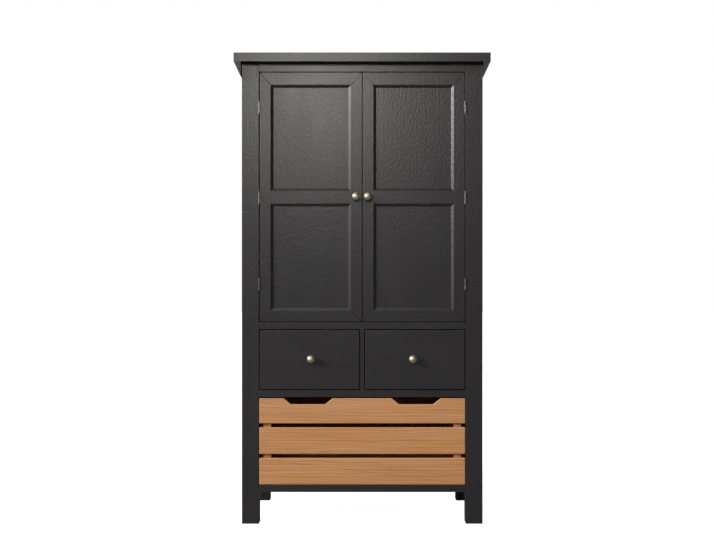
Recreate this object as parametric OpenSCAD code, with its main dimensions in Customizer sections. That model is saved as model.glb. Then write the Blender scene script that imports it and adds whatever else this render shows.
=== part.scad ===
// Tall larder cupboard: two doors over two drawers over a slatted pull-out crate.
// Millimetres. The front faces -Y, +Z is up, and the origin is on the floor, in the
// middle of the whole cabinet. Left and right are as seen from the front.

/* [Overall size] */
// Height from the floor to the top of the top board
cabinet_h = 1900; // [1800:5:2000]
// Width across the outer faces of the legs
body_w = 975; // [900:5:1050]
// Depth from the leg fronts to the leg backs
body_d = 560; // [520:5:620]

/* [Legs and top] */
// Width of a leg, seen from the front
leg_w = 69; // [60:1:76]
// Depth of a leg, seen from the side
leg_d = 64; // [58:1:72]
// Small chamfer down the corners of a leg
leg_ease = 1.5; // [0.5:0.25:3]
// Thickness of the top board
top_t = 36; // [25:1:45]
// Overhang of the top board at each side
side_overhang = 28.5; // [20:0.5:40]
// Overhang of the top board at the front
front_overhang = 40; // [34:1:50]
// Small chamfer round the top board
top_ease = 1.5; // [0.5:0.25:3]
// Height of the wedge-shaped cornice under the side overhang
cornice_h = 60; // [40:1:75]

/* [Rails] */
// Clear height under the bottom rails
foot_clear = 128.5; // [100:0.5:150]
// Height of the front rail under the crate
bottom_rail_h = 28.5; // [22:0.5:32]
// Height of the front rail under the drawers
drawer_rail_h = 27.5; // [24:0.5:32]
// Height of the front rail under the doors
door_rail_h = 27.7; // [20:0.1:30]
// Height of the front rail over the doors
top_rail_h = 33.5; // [30:0.5:45]
// Length of the tenons on the ends of the rails
tenon_l = 20; // [12:1:24]
// Shoulder of a tenon all round
tenon_shoulder = 6; // [4:0.5:7]
// Thickness of the side rails
side_rail_t = 22; // [20:1:26]
// Height of the upper side rails
side_top_rail_h = 90; // [80:1:110]
// Height of the lower side rails
side_bottom_rail_h = 70; // [60:1:90]
// Set-back of the side rails from the outer faces of the legs
side_rail_inset = 8; // [4:1:12]
// Thickness of the back rails
back_rail_t = 20; // [18:1:24]
// Set-back of the back rails from the back faces of the legs
back_rail_inset = 4; // [2:1:8]
// Height of the upper back rail
back_top_rail_h = 70; // [60:1:90]
// Height of the lower back rail
back_bottom_rail_h = 60; // [50:1:70]

/* [Side and back panels] */
// Thickness of the side panels
side_panel_t = 9; // [6:0.5:12]
// Thickness of the back panel
back_panel_t = 6; // [4:0.5:8]
// Depth of the grooves that hold the panels
groove_d = 8; // [5:0.5:10]

/* [Doors] */
// Thickness of the doors
door_t = 22; // [20:0.5:25]
// Gap round the doors and the drawer fronts
front_gap = 3; // [2:0.1:3.5]
// Width of the flat face of a door stile
stile_w = 44; // [40:0.5:60]
// Height of the flat face of a door's top rail
door_top_rail_h = 49.5; // [40:0.5:70]
// Height of the flat face of a door's bottom rail
door_bottom_rail_h = 44.5; // [40:0.5:70]
// Height of the flat face of a door's middle rail
mid_rail_h = 51; // [42:0.5:70]
// Middle of a door's middle rail above the door's lower edge
mid_rail_up = 503; // [400:1:600]
// Width of the bevelled moulding round a door panel
moulding_w = 12; // [8:0.5:16]
// Depth of a door panel behind the face of the door
moulding_d = 9; // [7:0.5:9.5]
// Thickness of a door panel
door_panel_t = 8; // [5:0.5:8.5]

/* [Hinges] */
// Height of a hinge
hinge_h = 48; // [40:1:70]
// Diameter of a hinge knuckle
knuckle_dia = 5; // [4.6:0.1:5.5]
// Diameter of a hinge pin
pin_dia = 2.6; // [2:0.1:3]
// Distance of the hinge pin in front of the door's face
pin_proud = 3; // [2.9:0.1:3.5]
// Thickness of a hinge leaf
leaf_t = 1.5; // [1.2:0.1:1.6]
// Width of a hinge leaf behind the face of the door
leaf_d = 18; // [12:1:19]
// Middle of the lowest hinge above the door's lower edge
hinge_low_up = 152; // [90:0.5:220]
// Middle of the middle hinge above the door's lower edge
hinge_mid_up = 501; // [400:0.5:600]
// Middle of the highest hinge below the door's upper edge
hinge_high_down = 142.5; // [90:0.5:220]

/* [Knobs] */
// Diameter of a knob
knob_dia = 34; // [26:0.5:36]
// Reach of a knob in front of the face that it is on
knob_reach = 30; // [26:0.5:32]
// Diameter of a knob's foot
knob_foot_dia = 20; // [16:0.5:24]
// Diameter of a knob's neck
knob_neck_dia = 12; // [10:0.5:15]
// Diameter of a knob's screw
screw_dia = 4; // [3:0.5:5]
// Diameter of the screw's head
screw_head_dia = 9; // [8:0.5:11]
// Depth of the screw in a knob
screw_in_knob = 14; // [8:0.5:18]
// Distance of a drawer knob from the middle of the cabinet
drawer_knob_x = 206; // [150:1:260]
// Height of a knob above the middle of the rail or drawer front that it is on
knob_rise = 3; // [0:0.5:6]

/* [Drawers] */
// Height of the opening for the drawers
drawer_opening_h = 247.3; // [200:0.1:280]
// Width of the divider between the drawers
divider_w = 16; // [12:0.5:30]
// Thickness of a drawer front
drawer_front_t = 20; // [18:0.5:24]
// Chamfer round the face of a drawer front
drawer_ease = 2; // [1:0.25:4]
// Height of a drawer's sides
drawer_side_h = 190; // [120:1:190]
// Thickness of a drawer's sides and back
drawer_side_t = 12; // [10:0.5:15]
// Clearance between a drawer's sides and the guides of the outer runners
drawer_side_gap = 1.5; // [1:0.1:2]
// Thickness of a drawer's bottom
drawer_bottom_t = 6; // [4:0.5:8]
// Height of a drawer's bottom above the lower edge of its sides
drawer_bottom_up = 12; // [8:0.5:16]
// Depth of the grooves for a drawer's bottom and back
drawer_groove_d = 6; // [4:0.5:7]
// Number of dovetails on the front end of a drawer's side
tail_n = 4; // [3:1:5]
// Length of a dovetail, let into the back of the drawer front
tail_l = 14; // [10:0.5:15]
// Height of a dovetail at its wide end
tail_h = 32; // [24:0.5:36]
// Run of a dovetail's slope for 1 of rise
tail_slope = 7; // [6:0.5:8]

/* [Crate] */
// Height of the crate
crate_h = 350; // [320:1:370]
// Clearance over the crate
crate_head_gap = 5.2; // [2:0.1:6]
// Clearance at each side of the crate
crate_side_gap = 1.5; // [1:0.1:2.5]
// Thickness of the crate's slats
slat_t = 15; // [12:0.5:18]
// Gap between the crate's slats
slat_gap = 16.2; // [10:0.1:20]
// Height of the top slat
top_slat_h = 102; // [90:1:120]
// Small chamfer round a slat's face
slat_ease = 1.2; // [0.5:0.1:2]
// Width and depth of the crate's corner posts
post_w = 32; // [25:1:40]
// Distance of a hand cut-out from the middle of the crate
notch_x = 219; // [180:1:240]
// Width of a hand cut-out at its top
notch_top_w = 198; // [180:1:220]
// Width of a hand cut-out at its bottom
notch_bottom_w = 139; // [120:1:150]
// Depth of a hand cut-out
notch_depth = 24.7; // [20:0.1:35]
// Height and width of the battens under the crate's floor
batten_w = 15; // [12:0.5:20]
// Thickness of the crate's floor slats
crate_floor_t = 12; // [9:0.5:15]
// Number of the crate's floor slats
crate_floor_n = 6; // [5:1:8]
// Gap between the crate's floor slats
crate_floor_gap = 10; // [6:0.5:15]

/* [Inside] */
// Thickness of the shelves, the cupboard floor and the bottom board
board_t = 18; // [15:0.5:20]
// Height of the lower shelf above the cupboard floor
shelf_lower_up = 320; // [250:1:400]
// Height of the upper shelf above the lower shelf
shelf_pitch = 320; // [250:1:330]
// Clearance round a shelf
shelf_gap = 1; // [0.5:0.1:2]
// Diameter of a shelf pin
shelf_pin_dia = 6; // [5:0.5:8]
// Reach of a shelf pin out of the leg
shelf_pin_reach = 10; // [8:0.5:14]
// Depth of the hole for a shelf pin
shelf_pin_hole = 10; // [8:0.5:12]
// Distance of the shelf pins from the inner edge of a leg
shelf_pin_edge = 15; // [12:0.5:18]
// Width of a cleat under the cupboard floor
cleat_w = 20; // [15:0.5:25]
// Thickness of the drawer runners
runner_t = 22; // [18:0.5:24]
// Reach of an outer runner under the drawer
runner_reach = 24; // [18:1:30]
// Width of an outer runner beside the drawer
runner_wing = 22; // [18:0.5:30]
// Height of an outer runner's guide above the runner
runner_guide_h = 30; // [20:1:40]
// Width of the centre runner
centre_runner_w = 60; // [50:1:80]
// Width of the crate's guides
guide_w = 22; // [18:0.5:30]
// Height of the crate's guides
guide_h = 30; // [20:1:40]
// Rise of the bottom board over the bottom rail
board_proud = 1; // [0.5:0.1:2]
// Clearance behind the drawers and the crate
back_clear = 12; // [8:0.5:20]
// Width of a magnetic catch
catch_w = 42; // [35:1:50]
// Depth of a magnetic catch
catch_d = 14; // [10:0.5:18]
// Height of a magnetic catch
catch_h = 15; // [12:0.5:18]
// Distance of a catch from the middle of the cabinet
catch_x = 50; // [40:1:80]

/* [Hidden] */

$fn = 64;

// Clearance of a panel or a tenon in its groove or mortise
fit = 0.15;
// Clearance between pieces that slide or rest on each other
slide = 0.3;
// Radial clearance of the hinge pins, knob screws and shelf pins
bore_fit = 0.05;
// Extra length of a cut past the face that it opens
past = 1;
// Number of knuckles in a hinge
knuckle_n = 5;
// Thickness of a hinge pin's end caps
pin_cap = 1.2;
// Thickness of a knob screw's head
screw_head_t = 2.6;
// Radius of a knob's rounded rim
knob_rim = 5;
// Height of the rim's middle, as a share of the knob's reach
knob_rim_up = 0.57;
// Thickness of a knob's foot
knob_foot_t = 2.5;
// Gap between the ends of two hinge knuckles
knuckle_gap = 0.3;

// Colours
paint = "#343233";
paint_inside = "#3d3b3b";
pine = "#b07f52";
pine_dark = "#9a6d45";
brass = "#a99667";
steel = "#8f8d89";

// Lines across the width
half_w = body_w / 2;
open_x = half_w - leg_w;
side_rail_x0 = half_w - side_rail_inset;
side_rail_x1 = side_rail_x0 - side_rail_t;
side_panel_x0 = (side_rail_x0 + side_rail_x1 + side_panel_t) / 2;
side_panel_x1 = side_panel_x0 - side_panel_t;

// Lines along the depth, from the front edge of the top board to the back
front_y = -(body_d + front_overhang) / 2;
face_y = front_y + front_overhang;
back_y = face_y + body_d;
leg_y1 = face_y + leg_d;
leg_y2 = back_y - leg_d;
back_rail_y1 = back_y - back_rail_inset;
back_rail_y0 = back_rail_y1 - back_rail_t;
back_panel_y0 = (back_rail_y0 + back_rail_y1 - back_panel_t) / 2;
back_panel_y1 = back_panel_y0 + back_panel_t;
runner_rail_y0 = back_panel_y0 - back_rail_t;
box_back_y = back_rail_y0 - back_clear;

// Levels up the height
top_z = cabinet_h - top_t;
bottom_rail_top = foot_clear + bottom_rail_h;
floor_board_z = bottom_rail_top + board_proud;
crate_z = floor_board_z + slide;
crate_top = crate_z + crate_h;
drawer_rail_z = crate_top + crate_head_gap;
drawer_z = drawer_rail_z + drawer_rail_h;
drawer_top = drawer_z + drawer_opening_h;
cupboard_z = drawer_top + door_rail_h;
cupboard_top = top_z - top_rail_h;

// Doors
door_x0 = -open_x + front_gap;
door_x1 = -front_gap / 2;
door_z0 = cupboard_z + front_gap;
door_z1 = cupboard_top - front_gap;
door_back_y = face_y + door_t;
panel_x0 = door_x0 + stile_w;
panel_x1 = door_x1 - stile_w;
panel_z0 = door_z0 + door_bottom_rail_h;
panel_z3 = door_z1 - door_top_rail_h;
mid_z = door_z0 + mid_rail_up;
door_knob_z = mid_z + knob_rise;
panel_z1 = mid_z - mid_rail_h / 2;
panel_z2 = mid_z + mid_rail_h / 2;
door_panel_y = face_y + moulding_d;

// Hinges
pin_x = -open_x + front_gap / 2;
pin_y = face_y - pin_proud;
hinge_z = [
  door_z0 + hinge_low_up - hinge_h / 2,
  door_z0 + hinge_mid_up - hinge_h / 2,
  door_z1 - hinge_high_down - hinge_h / 2
];
knuckle_pitch = (hinge_h + knuckle_gap) / knuckle_n;
knuckle_h = knuckle_pitch - knuckle_gap;

// Drawers
drawer_x0 = -open_x;
drawer_x1 = -divider_w / 2;
drawer_box_x0 = drawer_x0 + front_gap;
drawer_box_x1 = drawer_x1 - front_gap;
drawer_box_y = face_y + drawer_front_t;
drawer_box_z = drawer_z + slide;
drawer_bottom_z = drawer_box_z + drawer_bottom_up;
drawer_back_y = box_back_y - 2 * drawer_side_t;
tail_pitch = (drawer_side_h - 6) / tail_n;
drawer_knob_z = (drawer_z + drawer_top) / 2 + knob_rise;

// Crate
crate_x = open_x - crate_side_gap;
crate_in_x = crate_x - slat_t;
crate_in_y0 = face_y + slat_t;
crate_in_y1 = box_back_y - slat_t;
low_slat_h = (crate_h - top_slat_h - 2 * slat_gap) / 2;
slat_z = [crate_z, crate_z + low_slat_h + slat_gap, crate_top - top_slat_h];
slat_h = [low_slat_h, low_slat_h, top_slat_h];

// Shelves
shelf_front_y = door_back_y + screw_head_t + 3;
shelf_lower_z = cupboard_z + shelf_lower_up;
shelf_upper_z = shelf_lower_z + shelf_pitch;
shelf_pin_y = [leg_y1 - shelf_pin_edge, leg_y2 + shelf_pin_edge];

// A box given by its lower and upper limits along each axis.
module slab(x, y, z) {
  translate([x[0], y[0], z[0]])
    cube([x[1] - x[0], y[1] - y[0], z[1] - z[0]]);
}

// The same piece on the other side of the cabinet.
module other_side() {
  mirror([1, 0, 0]) children();
}

module both_sides() {
  children();
  other_side() children();
}

// A rectangle with its four corners cut off.
module eased_rect(w, h, e) {
  polygon([
    [e, 0], [w - e, 0], [w, e], [w, h - e],
    [w - e, h], [e, h], [0, h - e], [0, e]
  ]);
}

// A board in the XZ plane that faces -Y, with a chamfer round its face.
module eased_board(x, y, z, e) {
  w = x[1] - x[0];
  t = y[1] - y[0];
  h = z[1] - z[0];
  translate([x[0], y[0], z[0]])
    intersection() {
      linear_extrude(h)
        polygon([[e, 0], [w - e, 0], [w, e], [w, t], [0, t], [0, e]]);
      rotate([90, 0, 90])
        linear_extrude(w)
          polygon([[e, 0], [t, 0], [t, h], [e, h], [0, h - e], [0, e]]);
    }
}

// An outline drawn in X and Z, carried along Y from y[0] to y[1].
module front_outline(y, points) {
  translate([0, y[1], 0])
    rotate([90, 0, 0])
      linear_extrude(y[1] - y[0])
        polygon(points);
}

// A rail along X between the legs, with a tenon on each end. A negative grow makes it
// smaller all round; the mortises are the same tenon, grown by the fit.
module tenons_x(y, z, grow) {
  s = tenon_shoulder - grow;
  slab([-open_x - tenon_l - grow, open_x + tenon_l + grow],
       [y[0] + s, y[1] - s], [z[0] + s, z[1] - s]);
}

module rail_x(y, z) {
  slab([-open_x, open_x], y, z);
  tenons_x(y, z, 0);
}

// The same along Y, for the left side.
module tenons_y(x, z, grow) {
  s = tenon_shoulder - grow;
  slab([x[0] + s, x[1] - s], [leg_y1 - tenon_l - grow, leg_y2 + tenon_l + grow],
       [z[0] + s, z[1] - s]);
}

module rail_y(x, z) {
  slab(x, [leg_y1, leg_y2], z);
  tenons_y(x, z, 0);
}

// Places of the rails: depth range, then height range.
front_rail_y = [face_y, leg_y1];
top_rail_z = [cupboard_top, top_z];
door_rail_z = [drawer_top, cupboard_z];
drawer_rail_zz = [drawer_rail_z, drawer_z];
bottom_rail_z = [foot_clear, bottom_rail_top];
back_rail_y = [back_rail_y0, back_rail_y1];
runner_rail_y = [runner_rail_y0, back_panel_y0];
back_top_z = [top_z - back_top_rail_h, top_z];
back_bottom_z = [foot_clear, foot_clear + back_bottom_rail_h];
side_rail_x = [-side_rail_x0, -side_rail_x1];
side_top_z = [top_z - side_top_rail_h, top_z];
side_bottom_z = [foot_clear, foot_clear + side_bottom_rail_h];

module front_mortises() {
  tenons_x(front_rail_y, top_rail_z, fit);
  tenons_x(front_rail_y, door_rail_z, fit);
  tenons_x(front_rail_y, drawer_rail_zz, fit);
  tenons_x(front_rail_y, bottom_rail_z, fit);
}

module back_mortises() {
  tenons_x(back_rail_y, back_top_z, fit);
  tenons_x(runner_rail_y, drawer_rail_zz, fit);
  tenons_x(back_rail_y, back_bottom_z, fit);
}

module side_mortises() {
  tenons_y(side_rail_x, side_top_z, fit);
  tenons_y(side_rail_x, side_bottom_z, fit);
}

// Side panel with its edges in the grooves.
module side_panel(grow) {
  slab([-side_panel_x0 - grow, -side_panel_x1 + grow],
       [leg_y1 - groove_d - grow, leg_y2 + groove_d + grow],
       [side_bottom_z[1] - groove_d - grow, side_top_z[0] + groove_d + grow]);
}

module back_board(grow) {
  slab([-open_x - groove_d - grow, open_x + groove_d + grow],
       [back_panel_y0 - grow, back_panel_y1 + grow],
       [back_bottom_z[1] - groove_d - grow, back_top_z[0] + groove_d + grow]);
}

// Shelf pins of the left side, as holes where grow is the extra radius.
module left_shelf_pins(grow, out) {
  for (z = [shelf_lower_z, shelf_upper_z])
    for (y = shelf_pin_y)
      translate([-open_x - shelf_pin_hole, y, z - board_t - shelf_pin_dia / 2])
        rotate([0, 90, 0])
          cylinder(h = shelf_pin_hole + out, d = shelf_pin_dia + 2 * grow);
}

// Leg with its chamfered corners, standing at its left front corner.
module leg_post(y) {
  translate([-half_w, y, 0])
    linear_extrude(top_z)
      eased_rect(leg_w, leg_d, leg_ease);
}

// Recesses for the hinge leaves in the inner face of the left front leg.
module frame_leaf_recess() {
  for (z = hinge_z)
    slab([-open_x - leaf_t, -open_x + past],
         [face_y - past, face_y + leaf_d + fit], [z - fit, z + hinge_h + fit]);
}

module front_leg() {
  color(paint)
    difference() {
      leg_post(face_y);
      front_mortises();
      side_mortises();
      side_panel(fit);
      left_shelf_pins(bore_fit, past);
      frame_leaf_recess();
    }
}

module back_leg() {
  color(paint)
    difference() {
      leg_post(leg_y2);
      back_mortises();
      side_mortises();
      side_panel(fit);
      back_board(fit);
      left_shelf_pins(bore_fit, past);
    }
}

module leg_front_left() { front_leg(); }
module leg_front_right() { other_side() front_leg(); }
module leg_back_left() { back_leg(); }
module leg_back_right() { other_side() back_leg(); }

// The top board has a chamfer along its upper and lower front and side edges.
module top_board() {
  w = body_w + 2 * side_overhang;
  d = back_y - front_y;
  e = top_ease;
  color(paint)
    translate([-w / 2, front_y, top_z])
      intersection() {
        linear_extrude(top_t) polygon([[e, 0], [w - e, 0], [w, e], [w, d], [0, d], [0, e]]);
        rotate([90, 0, 90]) linear_extrude(w)
          polygon([[e, 0], [d, 0], [d, top_t], [e, top_t], [0, top_t - e], [0, e]]);
        translate([0, d, 0]) rotate([90, 0, 0]) linear_extrude(d) eased_rect(w, top_t, e);
      }
}

// A wedge that leans out from the leg to the edge of the top board.
module side_cornices() {
  color(paint)
    both_sides()
      front_outline([front_y, back_y], [
        [-half_w, top_z - cornice_h],
        [-half_w, top_z],
        [-half_w - side_overhang + top_ease, top_z],
        [-half_w - side_overhang + top_ease, top_z - top_ease]
      ]);
}

module top_rail() { color(paint) rail_x(front_rail_y, top_rail_z); }
module door_rail() { color(paint) rail_x(front_rail_y, door_rail_z); }
module drawer_rail() { color(paint) rail_x(front_rail_y, drawer_rail_zz); }
module bottom_rail() { color(paint) rail_x(front_rail_y, bottom_rail_z); }

module drawer_divider() {
  color(paint)
    slab([-divider_w / 2, divider_w / 2], front_rail_y, [drawer_z, drawer_top]);
}

module side_panel_left() { color(paint) side_panel(0); }
module side_panel_right() { color(paint) other_side() side_panel(0); }

module side_rails() {
  color(paint)
    both_sides() {
      difference() {
        rail_y(side_rail_x, side_top_z);
        side_panel(fit);
      }
      difference() {
        rail_y(side_rail_x, side_bottom_z);
        side_panel(fit);
        bottom_board_body(fit);
      }
    }
}

module back_panel() { color(paint_inside) back_board(0); }

module back_rails() {
  color(paint_inside) {
    difference() {
      rail_x(back_rail_y, back_top_z);
      back_board(fit);
    }
    difference() {
      rail_x(back_rail_y, back_bottom_z);
      back_board(fit);
    }
    rail_x(runner_rail_y, drawer_rail_zz);
  }
}

// The cupboard floor fills the body behind the front rail, round the back legs.
module cupboard_floor() {
  z = [cupboard_z - board_t, cupboard_z];
  color(paint_inside) {
    slab([-side_panel_x1, side_panel_x1], [leg_y1, leg_y2], z);
    slab([-open_x, open_x], [leg_y2, back_panel_y0], z);
  }
}

module floor_cleats() {
  z1 = cupboard_z - board_t;
  color(paint_inside)
    both_sides()
      slab([-side_panel_x1, -side_panel_x1 + cleat_w], [leg_y1, leg_y2], [z1 - cleat_w, z1]);
}

// Partition behind the divider, on the centre runner and under the cupboard floor.
module drawer_partition() {
  color(paint_inside)
    slab([-divider_w / 2, divider_w / 2], [leg_y1, back_panel_y0],
         [drawer_z, cupboard_z - board_t]);
}

// L-shaped outer runners between the legs, and a flat centre runner.
module drawer_runners() {
  guide_x = -open_x + front_gap - drawer_side_gap;
  color(pine_dark) {
    both_sides()
      translate([0, leg_y2, 0])
        rotate([90, 0, 0])
          linear_extrude(leg_y2 - leg_y1)
            polygon([
              [-open_x - runner_wing, drawer_z - runner_t],
              [-open_x + runner_reach, drawer_z - runner_t],
              [-open_x + runner_reach, drawer_z],
              [guide_x, drawer_z],
              [guide_x, drawer_z + runner_guide_h],
              [-open_x - runner_wing, drawer_z + runner_guide_h]
            ]);
    slab([-centre_runner_w / 2, centre_runner_w / 2], [leg_y1, runner_rail_y0],
         [drawer_z - runner_t, drawer_z]);
  }
}

// The bottom board has its side edges in grooves of the lower side rails.
module bottom_board_body(grow) {
  z = [floor_board_z - board_t - grow, floor_board_z + grow];
  slab([-side_rail_x1 - groove_d - grow, side_rail_x1 + groove_d + grow], [leg_y1, leg_y2], z);
  slab([-open_x, open_x], [leg_y2, back_rail_y0], z);
}

module bottom_board() { color(paint_inside) bottom_board_body(0); }

module crate_guides() {
  color(pine_dark)
    both_sides()
      slab([-open_x - guide_w, -open_x], [leg_y1, leg_y2],
           [floor_board_z, floor_board_z + guide_h]);
}

// A shelf fills the body between the side panels, round the four legs.
module shelf(z) {
  color(paint_inside) {
    slab([-open_x + shelf_gap, open_x - shelf_gap],
         [shelf_front_y, back_panel_y0 - shelf_gap], [z - board_t, z]);
    slab([-side_panel_x1 + shelf_gap, side_panel_x1 - shelf_gap],
         [leg_y1 + shelf_gap, leg_y2 - shelf_gap], [z - board_t, z]);
  }
}

module shelf_lower() { shelf(shelf_lower_z); }
module shelf_upper() { shelf(shelf_upper_z); }

module shelf_pins() {
  color(steel)
    both_sides()
      left_shelf_pins(0, shelf_pin_reach);
}

// One half of a hinge round its pin's axis. The plate lies on the -X side, let into
// the wood, and its own knuckles are joined to it by tabs.
module hinge_half(own) {
  difference() {
    union() {
      slab([-front_gap / 2 - leaf_t, -front_gap / 2],
           [pin_proud, pin_proud + leaf_d], [0, hinge_h]);
      for (i = own)
        translate([0, 0, i * knuckle_pitch]) {
          cylinder(h = knuckle_h, d = knuckle_dia);
          slab([-front_gap / 2 - leaf_t, -front_gap / 2], [0, pin_proud], [0, knuckle_h]);
        }
    }
    translate([0, 0, -past])
      cylinder(h = hinge_h + 2 * past, d = pin_dia + 2 * bore_fit);
  }
}

module at_hinges() {
  for (z = hinge_z)
    translate([pin_x, pin_y, z])
      children();
}

module hinge_frame_leaves() {
  color(steel)
    both_sides()
      at_hinges()
        hinge_half([0, 2, 4]);
}

module hinge_pins() {
  color(steel)
    both_sides()
      at_hinges() {
        translate([0, 0, -pin_cap]) cylinder(h = pin_cap, d = knuckle_dia);
        translate([0, 0, -pin_cap]) cylinder(h = hinge_h + 2 * pin_cap, d = pin_dia);
        translate([0, 0, hinge_h]) cylinder(h = pin_cap, d = knuckle_dia);
      }
}

module door_hinge_leaves() {
  color(steel)
    at_hinges()
      other_side()
        hinge_half([1, 3]);
}

module door_catches() {
  color(steel)
    both_sides()
      slab([-catch_x - catch_w / 2, -catch_x + catch_w / 2],
           [door_back_y + slide, door_back_y + slide + catch_d],
           [cupboard_top - catch_h, cupboard_top]);
}

// The two panels of a door, with their edges in the grooves of the frame.
module door_panels(grow) {
  x = [panel_x0 - groove_d - grow, panel_x1 + groove_d + grow];
  y = [door_panel_y - grow, door_panel_y + door_panel_t + grow];
  slab(x, y, [panel_z0 - groove_d - grow, panel_z1 + groove_d + grow]);
  slab(x, y, [panel_z2 - groove_d - grow, panel_z3 + groove_d + grow]);
}

// The middle rail's tenons lie in line with the grooves.
module mid_rail_tenons(grow) {
  slab([panel_x0 - groove_d - grow, panel_x1 + groove_d + grow],
       [door_panel_y - grow, door_panel_y + door_panel_t + grow],
       [panel_z1 + groove_d + 2 * fit - grow, panel_z2 - groove_d - 2 * fit + grow]);
}

// Hole for a knob's screw, through the board that the knob is on.
module screw_hole(x, z, t) {
  translate([x, face_y + t + past, z])
    rotate([90, 0, 0])
      cylinder(h = t + 2 * past, d = screw_dia + 2 * bore_fit);
}

door_knob_x = door_x1 - stile_w / 2;

module door_member(points) {
  color(paint)
    difference() {
      front_outline([face_y, door_back_y], points);
      door_panels(fit);
      mid_rail_tenons(fit);
      screw_hole(door_knob_x, door_knob_z, door_t);
      for (z = hinge_z)
        slab([door_x0 - past, door_x0 + leaf_t],
             [face_y - past, face_y + leaf_d + fit], [z - fit, z + hinge_h + fit]);
    }
}

module door_hinge_stile() {
  door_member([
    [door_x0, door_z0], [panel_x0, panel_z0],
    [panel_x0, panel_z3], [door_x0, door_z1]
  ]);
}

module door_meeting_stile() {
  door_member([
    [door_x1, door_z0], [door_x1, door_z1],
    [panel_x1, panel_z3], [panel_x1, panel_z0]
  ]);
}

module door_top_rail() {
  door_member([
    [door_x0, door_z1], [panel_x0, panel_z3],
    [panel_x1, panel_z3], [door_x1, door_z1]
  ]);
}

module door_bottom_rail() {
  door_member([
    [door_x0, door_z0], [door_x1, door_z0],
    [panel_x1, panel_z0], [panel_x0, panel_z0]
  ]);
}

module door_mid_rail() {
  color(paint) {
    difference() {
      slab([panel_x0, panel_x1], [face_y, door_back_y], [panel_z1, panel_z2]);
      door_panels(fit);
    }
    mid_rail_tenons(0);
  }
}

// One strip of bevelled moulding along X with mitred ends. Its back lies on the panel
// and its lower edge against the frame.
module bevel_strip(len) {
  w = moulding_w;
  d = moulding_d;
  intersection() {
    rotate([90, 0, 90]) linear_extrude(len) polygon([[0, 0], [d, 0], [d, w]]);
    front_outline([0, d], [[0, 0], [len, 0], [len - w, w], [w, w]]);
  }
}

// Four strips round an opening of w by h, from its lower left corner.
module bevel_frame(w, h) {
  bevel_strip(w);
  translate([0, 0, h]) mirror([0, 0, 1]) bevel_strip(w);
  mirror([1, 0, -1]) bevel_strip(h);
  translate([w, 0, 0]) mirror([1, 0, 0]) mirror([1, 0, -1]) bevel_strip(h);
}

module door_mouldings() {
  color(paint) {
    translate([panel_x0, face_y, panel_z0])
      bevel_frame(panel_x1 - panel_x0, panel_z1 - panel_z0);
    translate([panel_x0, face_y, panel_z2])
      bevel_frame(panel_x1 - panel_x0, panel_z3 - panel_z2);
  }
}

// Turned knob, drawn as half an outline: a crown that runs into a rounded rim of radius
// knob_rim, a neck, and a foot on the board.
module knob_outline() {
  rim_x = knob_dia / 2 - knob_rim;
  rim_z = knob_reach * knob_rim_up;
  neck = knob_neck_dia / 2;
  // The crown's circle is centred on the axis and touches the rim's circle.
  reach = knob_reach - knob_rim;
  crown_z = (reach * reach - rim_x * rim_x - rim_z * rim_z) / (2 * (reach - rim_z));
  crown_r = knob_reach - crown_z;
  touch = crown_r / (crown_r - knob_rim);
  touch_x = rim_x * touch;
  touch_z = crown_z + (rim_z - crown_z) * touch;
  intersection() {
    translate([0, crown_z]) circle(crown_r);
    translate([0, touch_z]) square(knob_dia);
  }
  translate([rim_x, rim_z]) circle(knob_rim);
  polygon([
    [0, 0], [knob_foot_dia / 2, 0], [knob_foot_dia / 2, knob_foot_t],
    [neck, 2 * knob_foot_t], [neck, rim_z - knob_rim - knob_foot_t],
    [rim_x, rim_z - knob_rim], [rim_x, rim_z], [touch_x, touch_z], [0, touch_z]
  ]);
}

// A knob on a board of thickness t, with the screw that holds it from behind.
module knob(x, z, t) {
  translate([x, face_y, z])
    rotate([90, 0, 0]) {
      color(brass)
        difference() {
          rotate_extrude() knob_outline();
          translate([0, 0, -past])
            cylinder(h = screw_in_knob + past, d = screw_dia + 2 * bore_fit);
        }
      color(steel) {
        translate([0, 0, -t - screw_head_t]) cylinder(h = screw_head_t, d = screw_head_dia);
        translate([0, 0, -t]) cylinder(h = t + screw_in_knob - slide, d = screw_dia);
      }
    }
}

module door_knob() { knob(door_knob_x, door_knob_z, door_t); }

module door_left_hinge_stile() { door_hinge_stile(); }
module door_left_meeting_stile() { door_meeting_stile(); }
module door_left_top_rail() { door_top_rail(); }
module door_left_mid_rail() { door_mid_rail(); }
module door_left_bottom_rail() { door_bottom_rail(); }
module door_left_panels() { color(paint) door_panels(0); }
module door_left_mouldings() { door_mouldings(); }
module door_left_hinge_leaves() { door_hinge_leaves(); }
module door_left_knob() { door_knob(); }

module door_right_hinge_stile() { other_side() door_hinge_stile(); }
module door_right_meeting_stile() { other_side() door_meeting_stile(); }
module door_right_top_rail() { other_side() door_top_rail(); }
module door_right_mid_rail() { other_side() door_mid_rail(); }
module door_right_bottom_rail() { other_side() door_bottom_rail(); }
module door_right_panels() { color(paint) other_side() door_panels(0); }
module door_right_mouldings() { other_side() door_mouldings(); }
module door_right_hinge_leaves() { other_side() door_hinge_leaves(); }
module door_right_knob() { other_side() door_knob(); }

// Bottom of a drawer, with its front and side edges in grooves. It runs under the back.
module drawer_bottom_body(grow) {
  slab([drawer_box_x0 + drawer_side_t - drawer_groove_d - grow,
        drawer_box_x1 - drawer_side_t + drawer_groove_d + grow],
       [drawer_box_y - drawer_groove_d - grow, box_back_y],
       [drawer_bottom_z - grow, drawer_bottom_z + drawer_bottom_t + grow]);
}

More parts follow.
